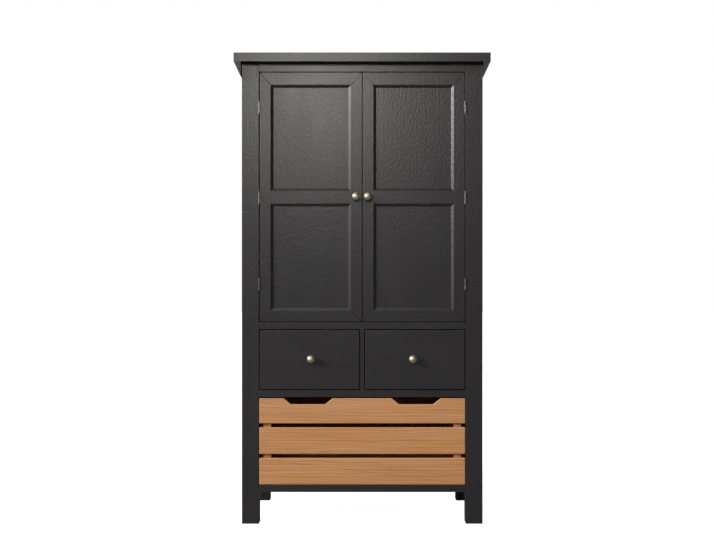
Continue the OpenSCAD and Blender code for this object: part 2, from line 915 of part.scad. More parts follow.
// Half-blind dovetails of one side, which let the side's front end into the front.
module dovetails(x, grow) {
  wide = tail_h / 2 + grow;
  narrow = wide - tail_l / tail_slope;
  for (i = [0 : tail_n - 1])
    translate([x[0], 0, drawer_box_z + 3 + (i + 0.5) * tail_pitch])
      rotate([90, 0, 90])
        linear_extrude(x[1] - x[0])
          polygon([
            [drawer_box_y - tail_l - grow, -wide], [drawer_box_y, -narrow],
            [drawer_box_y + past, -narrow], [drawer_box_y + past, narrow],
            [drawer_box_y, narrow], [drawer_box_y - tail_l - grow, wide]
          ]);
}

module drawer_front() {
  color(paint)
    difference() {
      eased_board([drawer_x0 + front_gap, drawer_x1 - front_gap], [face_y, drawer_box_y],
                  [drawer_z + front_gap, drawer_top - front_gap], drawer_ease);
      dovetails([drawer_box_x0 - past, drawer_box_x0 + drawer_side_t + fit], fit);
      dovetails([drawer_box_x1 - drawer_side_t - fit, drawer_box_x1 + past], fit);
      drawer_bottom_body(fit);
      screw_hole(-drawer_knob_x, drawer_knob_z, drawer_front_t);
    }
}

// Back of a drawer, with its ends in upright grooves of the sides, over the bottom.
module drawer_back_body(grow) {
  slab([drawer_box_x0 + drawer_side_t - drawer_groove_d - grow,
        drawer_box_x1 - drawer_side_t + drawer_groove_d + grow],
       [drawer_back_y - grow, drawer_back_y + drawer_side_t + grow],
       [drawer_bottom_z + drawer_bottom_t, drawer_box_z + drawer_side_h + grow]);
}

module drawer_box() {
  z = [drawer_box_z, drawer_box_z + drawer_side_h];
  color(pine) {
    difference() {
      union() {
        slab([drawer_box_x0, drawer_box_x0 + drawer_side_t], [drawer_box_y, box_back_y], z);
        slab([drawer_box_x1 - drawer_side_t, drawer_box_x1], [drawer_box_y, box_back_y], z);
        dovetails([drawer_box_x0, drawer_box_x0 + drawer_side_t], 0);
        dovetails([drawer_box_x1 - drawer_side_t, drawer_box_x1], 0);
      }
      drawer_bottom_body(fit);
      drawer_back_body(fit);
    }
    drawer_back_body(0);
  }
}

module drawer_bottom() { color(pine) drawer_bottom_body(0); }
module drawer_knob() { knob(-drawer_knob_x, drawer_knob_z, drawer_front_t); }

module drawer_left_front() { drawer_front(); }
module drawer_left_box() { drawer_box(); }
module drawer_left_bottom() { drawer_bottom(); }
module drawer_left_knob() { drawer_knob(); }

module drawer_right_front() { other_side() drawer_front(); }
module drawer_right_box() { other_side() drawer_box(); }
module drawer_right_bottom() { other_side() drawer_bottom(); }
module drawer_right_knob() { other_side() drawer_knob(); }

// One front slat, the index i counted from the floor up.
module front_slat(i) {
  eased_board([-crate_x, crate_x], [face_y, crate_in_y0],
              [slat_z[i], slat_z[i] + slat_h[i]], slat_ease);
}

// A hand cut-out: a slot with sloping ends, open at the top of the slat.
module hand_notch() {
  flare = (notch_top_w - notch_bottom_w) / 2 / notch_depth;
  low = notch_bottom_w / 2;
  high = notch_top_w / 2 + flare * past;
  front_outline([face_y - past, crate_in_y0 + past], [
    [-notch_x - low, crate_top - notch_depth], [-notch_x + low, crate_top - notch_depth],
    [-notch_x + high, crate_top + past], [-notch_x - high, crate_top + past]
  ]);
}

module crate_top_slat() {
  color(pine)
    difference() {
      front_slat(2);
      both_sides() hand_notch();
    }
}

module crate_front_slats() {
  color(pine) {
    front_slat(0);
    front_slat(1);
  }
}

// Four corner posts, and a batten along each side between them.
module crate_frame() {
  color(pine)
    both_sides() {
      for (y = [crate_in_y0, crate_in_y1 - post_w])
        slab([-crate_in_x, -crate_in_x + post_w], [y, y + post_w], [crate_z, crate_top]);
      slab([-crate_in_x, -crate_in_x + batten_w],
           [crate_in_y0 + post_w + fit, crate_in_y1 - post_w - fit],
           [crate_z, crate_z + batten_w]);
    }
}

module crate_side_slats() {
  color(pine)
    both_sides()
      for (i = [0 : 2])
        slab([-crate_x, -crate_in_x], [crate_in_y0, crate_in_y1],
             [slat_z[i], slat_z[i] + slat_h[i]]);
}

module crate_back_slats() {
  color(pine)
    for (i = [0 : 2])
      slab([-crate_x, crate_x], [crate_in_y1, box_back_y],
           [slat_z[i], slat_z[i] + slat_h[i]]);
}

// The floor slats lie across the battens, between the front and back posts.
module crate_floor_slats() {
  y0 = crate_in_y0 + post_w;
  span = crate_in_y1 - post_w - y0;
  w = (span - (crate_floor_n - 1) * crate_floor_gap) / crate_floor_n;
  z = crate_z + batten_w;
  color(pine)
    for (i = [0 : crate_floor_n - 1])
      slab([-crate_in_x, crate_in_x],
           [y0 + i * (w + crate_floor_gap), y0 + i * (w + crate_floor_gap) + w],
           [z, z + crate_floor_t]);
}

leg_front_left();
leg_front_right();
leg_back_left();
leg_back_right();
top_board();
side_cornices();
top_rail();
door_rail();
drawer_rail();
bottom_rail();
drawer_divider();
side_panel_left();
side_panel_right();
side_rails();
back_panel();
back_rails();
cupboard_floor();
floor_cleats();
drawer_partition();
drawer_runners();
bottom_board();
crate_guides();
shelf_lower();
shelf_upper();
shelf_pins();
hinge_frame_leaves();
hinge_pins();
door_catches();
door_left_hinge_stile();
door_left_meeting_stile();
door_left_top_rail();
door_left_mid_rail();
door_left_bottom_rail();
door_left_panels();
door_left_mouldings();
door_left_hinge_leaves();
door_left_knob();
door_right_hinge_stile();
door_right_meeting_stile();
door_right_top_rail();
door_right_mid_rail();
door_right_bottom_rail();
door_right_panels();
door_right_mouldings();
door_right_hinge_leaves();
door_right_knob();
drawer_left_front();
drawer_left_box();
drawer_left_bottom();
drawer_left_knob();
drawer_right_front();
drawer_right_box();
drawer_right_bottom();
drawer_right_knob();
crate_top_slat();
crate_front_slats();
crate_frame();
crate_side_slats();
crate_back_slats();
crate_floor_slats();
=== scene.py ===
"""Looks for a tall painted larder cupboard with a slatted pine crate.

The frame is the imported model, in metres: front towards -Y, up +Z, origin on the floor in the
middle. Lengths below are in millimetres unless a comment says otherwise. Left and right are as
seen from the front; side is -1 for the left half and 1 for the right half.

Every board is an outline with rounded corners that is carried along one axis, with both ends
closed over a quarter circle, so each edge is a real rounded arris. Pieces whose joints show when
a drawer is open are copies of the CAD solid with their edges rounded.
"""

import math

import bmesh
import bpy
import numpy as np
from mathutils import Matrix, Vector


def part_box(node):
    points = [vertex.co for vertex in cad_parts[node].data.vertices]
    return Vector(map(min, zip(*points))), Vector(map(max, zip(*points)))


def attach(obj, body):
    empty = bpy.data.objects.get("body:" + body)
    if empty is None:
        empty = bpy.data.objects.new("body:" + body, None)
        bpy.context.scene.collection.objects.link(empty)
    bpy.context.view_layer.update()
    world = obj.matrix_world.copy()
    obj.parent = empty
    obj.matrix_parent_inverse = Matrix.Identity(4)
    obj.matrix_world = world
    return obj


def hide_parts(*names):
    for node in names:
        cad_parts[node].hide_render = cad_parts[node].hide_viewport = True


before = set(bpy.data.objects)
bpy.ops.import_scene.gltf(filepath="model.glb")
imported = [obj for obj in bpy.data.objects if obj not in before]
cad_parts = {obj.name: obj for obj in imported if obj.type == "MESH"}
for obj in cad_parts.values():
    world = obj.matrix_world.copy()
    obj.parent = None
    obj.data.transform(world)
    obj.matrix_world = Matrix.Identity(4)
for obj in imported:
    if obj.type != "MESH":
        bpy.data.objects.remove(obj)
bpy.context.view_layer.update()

# Seeded, so that every run gives each board the same cut of wood.
rng = np.random.default_rng(11)


# Measures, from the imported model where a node's box gives them


def box_mm(node):
    """Lowest and highest corner of a CAD node, in millimetres to a hundredth."""
    low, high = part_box(node)
    return np.round(np.array(low) * 1000, 2), np.round(np.array(high) * 1000, 2)


def limits(node, axis):
    """Where a CAD node starts and ends along x, y or z."""
    low, high = box_mm(node)
    i = "xyz".index(axis)
    return low[i], high[i]


def extent(node, axis):
    """The size of a CAD node along x, y or z."""
    low, high = limits(node, axis)
    return high - low


# The opening between the legs, and the legs' outer faces
OPEN_X, HALF_W = limits("leg_front_right", "x")
FACE_Y, LEG_Y1 = limits("leg_front_right", "y")
LEG_Y2, BACK_Y = limits("leg_back_right", "y")
TOP_Z = limits("leg_front_right", "z")[1]

# The low and the high rails of both sides share a node, and so do those of the back, so a box
# doesn't give their thickness and heights.
SIDE_RAIL_T = 22.0
SIDE_RAIL_H = (70.0, 90.0)
BACK_RAIL_T = 20.0
BACK_RAIL_H = (60.0, 70.0)
RAIL_Z = limits("side_rails", "z")[0]
SIDE_RAIL_X = (limits("side_rails", "x")[1] - SIDE_RAIL_T, limits("side_rails", "x")[1])
SIDE_RAIL_Z = ((RAIL_Z, RAIL_Z + SIDE_RAIL_H[0]), (TOP_Z - SIDE_RAIL_H[1], TOP_Z))
BACK_RAIL_Y = (limits("back_rails", "y")[1] - BACK_RAIL_T, limits("back_rails", "y")[1])
BACK_RAIL_Z = ((RAIL_Z, RAIL_Z + BACK_RAIL_H[0]), (TOP_Z - BACK_RAIL_H[1], TOP_Z))
# The cross rail that carries the drawer runners
RUNNER_RAIL_Y = (limits("back_rails", "y")[0], limits("back_rails", "y")[0] + BACK_RAIL_T)
SIDE_PANEL_X = limits("side_panel_right", "x")
BACK_PANEL_Y = limits("back_panel", "y")

# The doors are this much smaller at the hinges and at the top, so that the gap shows.
EASE = 0.4
DOOR_EDGE_X = limits("door_right_hinge_stile", "x")[1]
DOOR_X = (limits("door_right_meeting_stile", "x")[0], DOOR_EDGE_X - EASE)
DOOR_Z = (limits("door_right_hinge_stile", "z")[0], limits("door_right_hinge_stile", "z")[1] - EASE)
DOOR_BACK_Y = limits("door_right_hinge_stile", "y")[1]
STILE_W = extent("door_right_hinge_stile", "x")
DOOR_TOP_RAIL_H = extent("door_right_top_rail", "z")
DOOR_BOTTOM_RAIL_H = extent("door_right_bottom_rail", "z")
MID_RAIL_Z = limits("door_right_mid_rail", "z")
PANEL_Y = limits("door_right_panels", "y")
PANEL_X = (DOOR_X[0] + STILE_W, DOOR_X[1] - STILE_W)
PANEL_Z = (
    (DOOR_Z[0] + DOOR_BOTTOM_RAIL_H, MID_RAIL_Z[0]),
    (MID_RAIL_Z[1], DOOR_Z[1] - DOOR_TOP_RAIL_H),
)
MOULDING_W = 12.0

HINGE_H = 48.0
HINGE_MIDDLE_Z = 1320.0
HINGE_Z = (
    limits("hinge_frame_leaves", "z")[0] + HINGE_H / 2,
    HINGE_MIDDLE_Z,
    limits("hinge_frame_leaves", "z")[1] - HINGE_H / 2,
)
# The pins stand in the middle of the gap between door and leg.
HINGE_X = (DOOR_EDGE_X + OPEN_X) / 2
HINGE_Y = sum(limits("hinge_pins", "y")) / 2
LEAF_T = 1.5
LEAF_BACK_Y = limits("hinge_frame_leaves", "y")[1]
KNUCKLES = 5
KNUCKLE_GAP = 0.3

CRATE_X = limits("crate_top_slat", "x")[1]
CRATE_IN_X = limits("crate_frame", "x")[1]
CRATE_IN_Y = limits("crate_frame", "y")
SLAT_FRONT_Y = limits("crate_top_slat", "y")
TOP_SLAT_Z = limits("crate_top_slat", "z")
# The lower and the middle slat, which share a node, lie as far apart as the middle and the top one.
LOW_SLATS_Z = limits("crate_front_slats", "z")
SLAT_H = (LOW_SLATS_Z[1] - LOW_SLATS_Z[0] - (TOP_SLAT_Z[0] - LOW_SLATS_Z[1])) / 2
SLAT_Z = (
    (LOW_SLATS_Z[0], LOW_SLATS_Z[0] + SLAT_H),
    (LOW_SLATS_Z[1] - SLAT_H, LOW_SLATS_Z[1]),
    TOP_SLAT_Z,
)
NOTCH_X = 219.0
NOTCH_HALF = (69.5, 99.0)
NOTCH_DEPTH = 24.7
NOTCH_R = 8.0
POST_W = 32.0
FLOOR_SLATS = 6
FLOOR_GAP = 10.0


# Surfaces


def rounded_outline(corners, radii, steps=4):
    """A closed outline whose corners are arcs.

    At a corner the sides turn by f. The arc of radius r starts r * tan(f / 2) before the corner,
    and its normal turns evenly from one side's normal to the next one's. A corner that bends
    inwards has its arc's centre outside. Returns the points, their outward normals, and a bend
    that is 0 at the ends of an arc and 1 in its middle.
    """
    corners = np.asarray(corners, float)
    ahead = np.roll(corners, -1, axis=0)
    radii = np.broadcast_to(np.asarray(radii, float), len(corners))
    if (corners[:, 0] * ahead[:, 1] - corners[:, 1] * ahead[:, 0]).sum() < 0:
        corners, radii = corners[::-1], radii[::-1]
        ahead = np.roll(corners, -1, axis=0)
    after = ahead - corners
    after /= np.linalg.norm(after, axis=1)[:, None]
    before = np.roll(after, 1, axis=0)
    turn = np.arctan2(
        before[:, 0] * after[:, 1] - before[:, 1] * after[:, 0], (before * after).sum(1)
    )
    first = np.stack([before[:, 1], -before[:, 0]], 1)
    reach = radii * np.sign(turn)
    start = corners - before * (radii * np.tan(np.abs(turn) / 2))[:, None]
    centre = start - first * reach[:, None]
    share = np.linspace(0, 1, steps + 1)
    cos, sin = np.cos(turn[:, None] * share), np.sin(turn[:, None] * share)
    normal = np.stack(
        [
            first[:, :1] * cos - first[:, 1:] * sin,
            first[:, :1] * sin + first[:, 1:] * cos,
        ],
        -1,
    )
    point = centre[:, None] + normal * reach[:, None, None]
    bend = np.tile(4 * share * (1 - share), len(corners))
    return point.reshape(-1, 2), normal.reshape(-1, 2), bend


def circle_outline(centre, radius, steps=28):
    """A circle: centre + radius * (cos t, sin t)."""
    t = np.linspace(0, 2 * np.pi, steps, endpoint=False)
    normal = np.stack([np.cos(t), np.sin(t)], 1)
    return np.asarray(centre) + radius * normal, normal, np.zeros(steps)


# For an outline carried along an axis, the axes of its first and second coordinate and of its way.
CARRY = {"x": (1, 2, 0), "y": (2, 0, 1), "z": (0, 1, 2)}


def carried(along, outline, start, stop, rims, grain=None, steps=3):
    """An outline carried along an axis, with both ends closed over a quarter circle.

    Near an end, ring t of 0 to 90 degrees is drawn in by rim * (1 - sin t) and lies
    rim * (1 - cos t) inside the end. An end is a number c, or (c, p, q) for the sloping plane
    c + p * first + q * second, as at a mitre. The way of the grain is the longest side unless
    grain names an axis.
    """
    point, normal, bend = outline
    t = np.linspace(0, np.pi / 2, steps + 1)
    ends = [end if isinstance(end, tuple) else (end, 0.0, 0.0) for end in (start, stop)]
    inset = np.concatenate([rims[0] * (1 - np.sin(t)), rims[1] * (1 - np.sin(t[::-1]))])
    way = np.concatenate(
        [ends[0][0] + rims[0] * (1 - np.cos(t)), ends[1][0] - rims[1] * (1 - np.cos(t[::-1]))]
    )
    tilt = np.concatenate([-np.cos(t), np.cos(t[::-1])])
    level = np.concatenate([np.sin(t), np.sin(t[::-1])])
    slope = np.repeat([end[1:] for end in ends], steps + 1, axis=0)
    ring = point[None] - normal[None] * inset[:, None, None]
    third = way[:, None] + (ring * slope[:, None]).sum(-1)
    flat = normal[None] * level[:, None, None] - (tilt[:, None] * slope)[:, None]
    rise = np.broadcast_to(tilt[:, None], flat.shape[:2])
    share = 2 * t / np.pi
    rim_bend = 4 * share * (1 - share)
    arris = np.maximum(bend[None], np.concatenate([rim_bend, rim_bend[::-1]])[:, None])
    arris[[0, -1]] = 0

    order = list(CARRY[along])
    points = np.empty(third.shape + (3,))
    normals = np.empty_like(points)
    points[..., order] = np.concatenate([ring, third[..., None]], -1)
    normals[..., order] = np.concatenate([flat, rise[..., None]], -1)
    index, quads = grid_faces(*third.shape)
    faces = quads + [index[0, ::-1].tolist(), index[-1].tolist()]
    return finished_part(points.reshape(-1, 3), normals.reshape(-1, 3), arris.ravel(), faces, grain)


def grid_faces(rings, count):
    """The numbers of the points of closed rings, and the quads between each ring and the next."""
    index = np.arange(rings * count).reshape(rings, count)
    beside = np.roll(index, -1, axis=1)
    quads = np.stack([index[:-1], beside[:-1], beside[1:], index[1:]], -1).reshape(-1, 4)
    return index, quads.tolist()


# Where the boards are cut: anywhere along this length of tree, this far beyond an edge of the
# board, and this far behind or in front of its middle
TREE_LENGTH = 5000
HEART_BESIDE = (30, 130)
HEART_BEHIND = (30, 90)


def place_in_tree(points, grain=None):
    """The place of each point in its tree, and the number of the axis along the grain.

    The place is the way along the grain, then across it twice, from the tree's heart. The heart
    lies beyond one edge of the board and behind it, so that the rings cross the wide face as
    nearly even lines.
    """
    low, high = points.min(0), points.max(0)
    size = high - low
    way = "xyz".index(grain) if grain else int(np.argmax(size))
    wide, thin = sorted((i for i in range(3) if i != way), key=lambda i: -size[i])
    signs = rng.choice([-1, 1], 2)
    heart = np.zeros(3)
    heart[way] = rng.uniform(0, TREE_LENGTH)
    heart[wide] = signs[0] * (size[wide] / 2 + rng.uniform(*HEART_BESIDE))
    heart[thin] = signs[1] * rng.uniform(*HEART_BEHIND)
    return (points - (low + high) / 2 + heart)[:, [way, wide, thin]], way


def finished_part(points, normals, arris, faces, grain=None):
    """A part as piece takes it, with each point's place in the tree and its share of end grain."""
    place, way = place_in_tree(points, grain)
    normals = normals / np.linalg.norm(normals, axis=1)[:, None]
    return {
        "points": points,
        "normals": normals,
        "arris": arris,
        "end": np.abs(normals[:, way]),
        "faces": faces,
        "place": place,
    }


def board(low, high, edge=1.5, rim=None, along=None, grain=None):
    """A square-cut board between two corners, with its edges rounded by edge and its ends by rim.

    The rounded rectangle across the board is carried along its longest side.
    """
    low, high = np.minimum(low, high).astype(float), np.maximum(low, high).astype(float)
    along = along or "xyz"[int(np.argmax(high - low))]
    a, b, c = CARRY[along]
    corners = [(low[a], low[b]), (high[a], low[b]), (high[a], high[b]), (low[a], high[b])]
    rim = 0.9 * edge if rim is None else rim
    return carried(along, rounded_outline(corners, edge), low[c], high[c], (rim, rim), grain)


def slab(x, y, z, **options):
    """A board given by its two limits along each axis."""
    low, high = zip(x, y, z)
    return board(low, high, **options)


def arc(centre, radius, first, last, steps, hollow=False):
    """Points and normals of an arc from angle first to last, in degrees.

    A hollow arc bounds the material from outside, so its normals point to its centre.
    """
    t = np.radians(np.linspace(first, last, steps + 1))
    normal = np.stack([np.cos(t), np.sin(t)], 1)
    return np.asarray(centre) + radius * normal, -normal if hollow else normal


def pole(height):
    """The last point of a turned outline: flat on the axis."""
    return np.array([(0.0, height)]), np.array([(0.0, 1.0)])


def turned(arcs, centre, way, around=56):
    """A turned piece: the outline (radius, height) swept round an axis.

    Point (r, h) at angle t lies at centre + h * way + r * (cos t * u + sin t * v), where u, v and
    way are at right angles. The outline starts on the foot and ends on the axis.
    """
    outline = np.concatenate([points for points, _ in arcs])
    normal = np.concatenate([normals for _, normals in arcs])
    keep = np.r_[True, np.linalg.norm(np.diff(outline, axis=0), axis=1) > 1e-4]
    outline, normal = outline[keep], normal[keep]
    way = np.asarray(way, float)
    u = np.roll(way, 1)
    v = np.cross(way, u)
    t = np.linspace(0, 2 * np.pi, around, endpoint=False)
    spoke = np.cos(t)[:, None] * u + np.sin(t)[:, None] * v
    body, tip = outline[:-1], outline[-1]
    points = centre + body[:, None, 1:] * way + body[:, None, :1] * spoke[None]
    normals = normal[:-1, None, 1:] * way + normal[:-1, None, :1] * spoke[None]
    points = np.vstack([points.reshape(-1, 3), centre + tip[1] * way])
    normals = np.vstack([normals.reshape(-1, 3), way])
    index, quads = grid_faces(len(body), around)
    crown = np.stack([index[-1], np.roll(index[-1], -1), np.full(around, index.size)], -1)
    faces = quads + crown.tolist() + [index[0, ::-1].tolist()]
    return finished_part(points, normals, np.zeros(len(points)), faces)


# Materials

WHITE = (1.0, 1.0, 1.0, 1.0)


def colour(code):
    """Linear colour of an sRGB hex code, for a node's socket."""
    value = np.array([int(code[i : i + 2], 16) for i in (1, 3, 5)]) / 255
    value = np.where(value <= 0.04045, value / 12.92, ((value + 0.055) / 1.055) ** 2.4)
    return (*value.tolist(), 1.0)


def add_node(tree, kind, inputs=None, **settings):
    """Adds a node, with its settings, and a value or a link for each input that is named."""
    node = tree.nodes.new(kind)
    for name, value in settings.items():
        setattr(node, name, value)
    for key, value in (inputs or {}).items():
        if isinstance(value, bpy.types.NodeSocket):
            tree.links.new(value, node.inputs[key])
        else:
            node.inputs[key].default_value = value
    return node


def calculated(tree, operation, *values):
    """The result of a Math node on one to three values."""
    inputs = dict(enumerate(values))
    return add_node(tree, "ShaderNodeMath", inputs, operation=operation).outputs[0]


def multiplied(tree, first, second):
    """Two vectors or colours, multiplied part by part."""
    inputs = {0: first, 1: second}
    return add_node(tree, "ShaderNodeVectorMath", inputs, operation="MULTIPLY").outputs[0]


def mapped(tree, value, start, stop, low, high):
    """A value of start to stop, spread over low to high and held there."""
    inputs = {"Value": value, "From Min": start, "From Max": stop, "To Min": low, "To Max": high}
    return add_node(tree, "ShaderNodeMapRange", inputs).outputs[0]


def spread(tree, noise, low, high):
    """A value of 0.3 to 0.7, as noise gives, spread over low to high."""
    return mapped(tree, noise, 0.3, 0.7, low, high)


def mixed(tree, factor, first, second):
    """A colour that goes from first to second as the factor goes from 0 to 1."""
    inputs = {"Factor": factor, "A": first, "B": second}
    return add_node(tree, "ShaderNodeMix", inputs, data_type="RGBA").outputs["Result"]


def mesh_value(tree, name, output="Fac"):
    """What a mesh says at each point under this name, and 0 where it says nothing."""
    return add_node(tree, "ShaderNodeAttribute", attribute_name=name).outputs[output]


def grain_noise(tree, place, length, width, detail=2.0, roughness=0.5):
    """Noise whose cells are about length mm long along the grain and width mm wide across it."""
    scaled = multiplied(tree, place, (1 / length, 1 / width, 1 / width))
    inputs = {"Vector": scaled, "Scale": 1.0, "Detail": detail, "Roughness": roughness}
    return add_node(tree, "ShaderNodeTexNoise", inputs).outputs["Fac"]


def bumped(tree, height, strength, distance):
    """The normal over a height that is worth distance, in metres."""
    inputs = {"Height": height, "Strength": strength, "Distance": distance}
    return add_node(tree, "ShaderNodeBump", inputs).outputs["Normal"]


def new_material(name):
    """An empty material; returns the material, its node tree and the points' place in the tree."""
    material = bpy.data.materials.new(name)
    material.use_nodes = True
    tree = material.node_tree
    tree.nodes.clear()
    return material, tree, mesh_value(tree, "place", "Vector")


def surfaced(material, tree, inputs):
    """Gives a material its surface, and returns it."""
    surface = add_node(tree, "ShaderNodeBsdfPrincipled", inputs)
    add_node(tree, "ShaderNodeOutputMaterial", {"Surface": surface.outputs[0]})
    return material


def eggshell_paint():
    """Water-based eggshell enamel brushed on wood, charcoal.

    The eye gets a nearly black ground with a broad satin sheen, a faint orange-peel mottle, brush
    marks along each board, a little of the wood's grain under the film, and paler arrises, partly
    where the film is worn thin and partly as a painted highlight.
    """
    material, tree, place = new_material("charcoal eggshell enamel")
    # Brush marks are drawn 5 mm wide, three or four real ones together, so that they show.
    marks = grain_noise(tree, place, 180, 5, 3.0)
    mottle = grain_noise(tree, place, 11, 9, 1.0)
    grain = grain_noise(tree, place, 260, 13)
    patches = grain_noise(tree, place, 320, 90)
    ground = mixed(tree, spread(tree, patches, 0, 1), colour("#292728"), colour("#2b292a"))
    arris = mesh_value(tree, "arris")
    # Arrises are painted paler towards #4b4744: partly worn thin film, partly a painted highlight
    # along the edges.
    wear_and_highlight = calculated(tree, "MULTIPLY", arris, spread(tree, patches, 0.1, 0.45))
    film = mixed(tree, wear_and_highlight, ground, colour("#4b4744"))
    brushed = calculated(tree, "ADD", marks, grain)
    height = calculated(tree, "MULTIPLY_ADD", brushed, 0.1, mottle)
    # End grain drinks the paint, so it stays duller.
    dull = calculated(tree, "MULTIPLY", mesh_value(tree, "end"), 0.12)
    sheen = calculated(tree, "ADD", spread(tree, patches, 0.315, 0.345), dull)
    inputs = {
        "Base Color": film,
        "Roughness": sheen,
        "IOR": 1.5,
        "Normal": bumped(tree, height, 1.0, 0.0005),
    }
    return surfaced(material, tree, inputs)


def sawn_pine(name, early, late, pale, gloss):
    """Planed pine with its growth rings, as the tree's rings cut by the board.

    The eye gets soft yellow-brown wood with wavering darker lines of uneven width, fine fibres
    along the board, streaks, pinker patches, and slightly paler arrises, partly lighter planed wood
    and partly a painted highlight. Ring r is the distance from the heart, moved by slow noise, over
    the ring's width.
    """
    material, tree, place = new_material(name)
    across = multiplied(tree, place, (0, 1, 1))
    radius = add_node(tree, "ShaderNodeVectorMath", {0: across}, operation="LENGTH")
    waver = spread(tree, grain_noise(tree, place, 600, 40), -8, 8)
    moved = calculated(tree, "ADD", radius.outputs["Value"], waver)
    # Rings of 9 mm are two or three times as wide as in real pine, so that they show.
    ring_width = 9.0
    ring = calculated(tree, "FRACT", calculated(tree, "DIVIDE", moved, ring_width))
    ramp = add_node(tree, "ShaderNodeValToRGB", {"Fac": ring})
    stops = ramp.color_ramp.elements
    stops[0].position, stops[0].color = 0.0, colour(early)
    stops[1].position, stops[1].color = 1.0, colour(early)
    # Within a ring, early wood darkens slowly to late wood and ends at once.
    for position, code in ((0.45, early), (0.82, late), (0.9, late)):
        stops.new(position).color = colour(code)
    fibres = grain_noise(tree, place, 200, 2.4, 3.0, 0.6)
    streaks = grain_noise(tree, place, 420, 18)
    # Heartwood is pinker and paler than the sapwood beside it.
    blush = spread(tree, grain_noise(tree, place, 420, 70, 1.0), 0, 1)
    tint = mixed(tree, blush, (0.99, 0.95, 0.87, 1), (1.01, 1.06, 1.19, 1))
    tinted = multiplied(tree, ramp.outputs["Color"], tint)
    fine, broad = spread(tree, fibres, 0.94, 1.06), spread(tree, streaks, 0.9, 1.1)
    tone = calculated(tree, "MULTIPLY", fine, broad)
    wood = add_node(tree, "ShaderNodeVectorMath", {0: tinted, "Scale": tone}, operation="SCALE")
    # Arrises are painted paler: partly the planed edges' own lighter wood, partly a painted
    # highlight along the edges.
    eased = calculated(tree, "MULTIPLY", mesh_value(tree, "arris"), 0.15)
    inputs = {
        "Base Color": mixed(tree, eased, wood.outputs[0], colour(pale)),
        "Roughness": spread(tree, fibres, gloss, gloss + 0.12),
        "IOR": 1.45,
        "Normal": bumped(tree, fibres, 0.4, 0.00015),
    }
    return surfaced(material, tree, inputs)


def metal(name, light, dark, low, high, cell):
    """A solid metal with a satin finish: patches of two tones and of two roughnesses.

    cell is the size of a patch in millimetres.
    """
    material, tree, place = new_material(name)
    patches = grain_noise(tree, place, cell, cell, 3.0)
    fine = grain_noise(tree, place, 0.6, 0.6)
    inputs = {
        "Base Color": mixed(tree, spread(tree, patches, 0, 1), colour(dark), colour(light)),
        "Metallic": 1.0,
        "Roughness": spread(tree, patches, low, high),
        "Normal": bumped(tree, fine, 0.15, 0.00005),
    }
    return surfaced(material, tree, inputs)


PAINT = eggshell_paint()
# Oiled pine: warm and a little darker than bare wood.
OILED_PINE = sawn_pine("oiled pine", "#c58d5a", "#b67d4d", "#efd2b8", 0.5)
# Bare planed pine, dry and pale, for the drawer boxes.
BARE_PINE = sawn_pine("bare planed pine", "#cdaa7c", "#b48b5b", "#dcc198", 0.62)
# Turned brass under a satin lacquer: pale champagne yellow with a wide soft highlight.
BRASS = metal("satin lacquered brass", "#d5c9b1", "#c1b292", 0.47, 0.53, 6)
# Zinc-plated steel, pale grey with a faint bloom.
STEEL = metal("zinc-plated steel", "#8f8e8c", "#777674", 0.34, 0.46, 4)


# Pieces


def piece(name, parts, material, body, *nodes):
    """One object made of parts, riding on a body in place of the CAD nodes that are named."""
    counts = np.cumsum([0] + [len(part["points"]) for part in parts])
    faces = [
        [corner + start for corner in face]
        for part, start in zip(parts, counts.tolist())
        for face in part["faces"]
    ]
    points = np.vstack([part["points"] for part in parts]) / 1000
    mesh = bpy.data.meshes.new(name)
    mesh.from_pydata(points.tolist(), [], faces, shade_flat=False)
    mesh.normals_split_custom_set_from_vertices(np.vstack([part["normals"] for part in parts]))
    place = mesh.attributes.new("place", "FLOAT_VECTOR", "POINT")
    place.data.foreach_set("vector", np.vstack([part["place"] for part in parts]).ravel())
    for kind in ("arris", "end"):
        values = np.concatenate([part[kind] for part in parts])
        mesh.attributes.new(kind, "FLOAT", "POINT").data.foreach_set("value", values)
    return set_up(bpy.data.objects.new(name, mesh), material, body, nodes)


def set_up(thing, material, body, nodes):
    """Puts an object in the scene with its material, body and the nodes it replaces."""
    bpy.context.scene.collection.objects.link(thing)
    thing.data.materials.clear()
    thing.data.materials.append(material)
    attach(thing, body)
    if nodes:
        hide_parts(*nodes)
    return thing


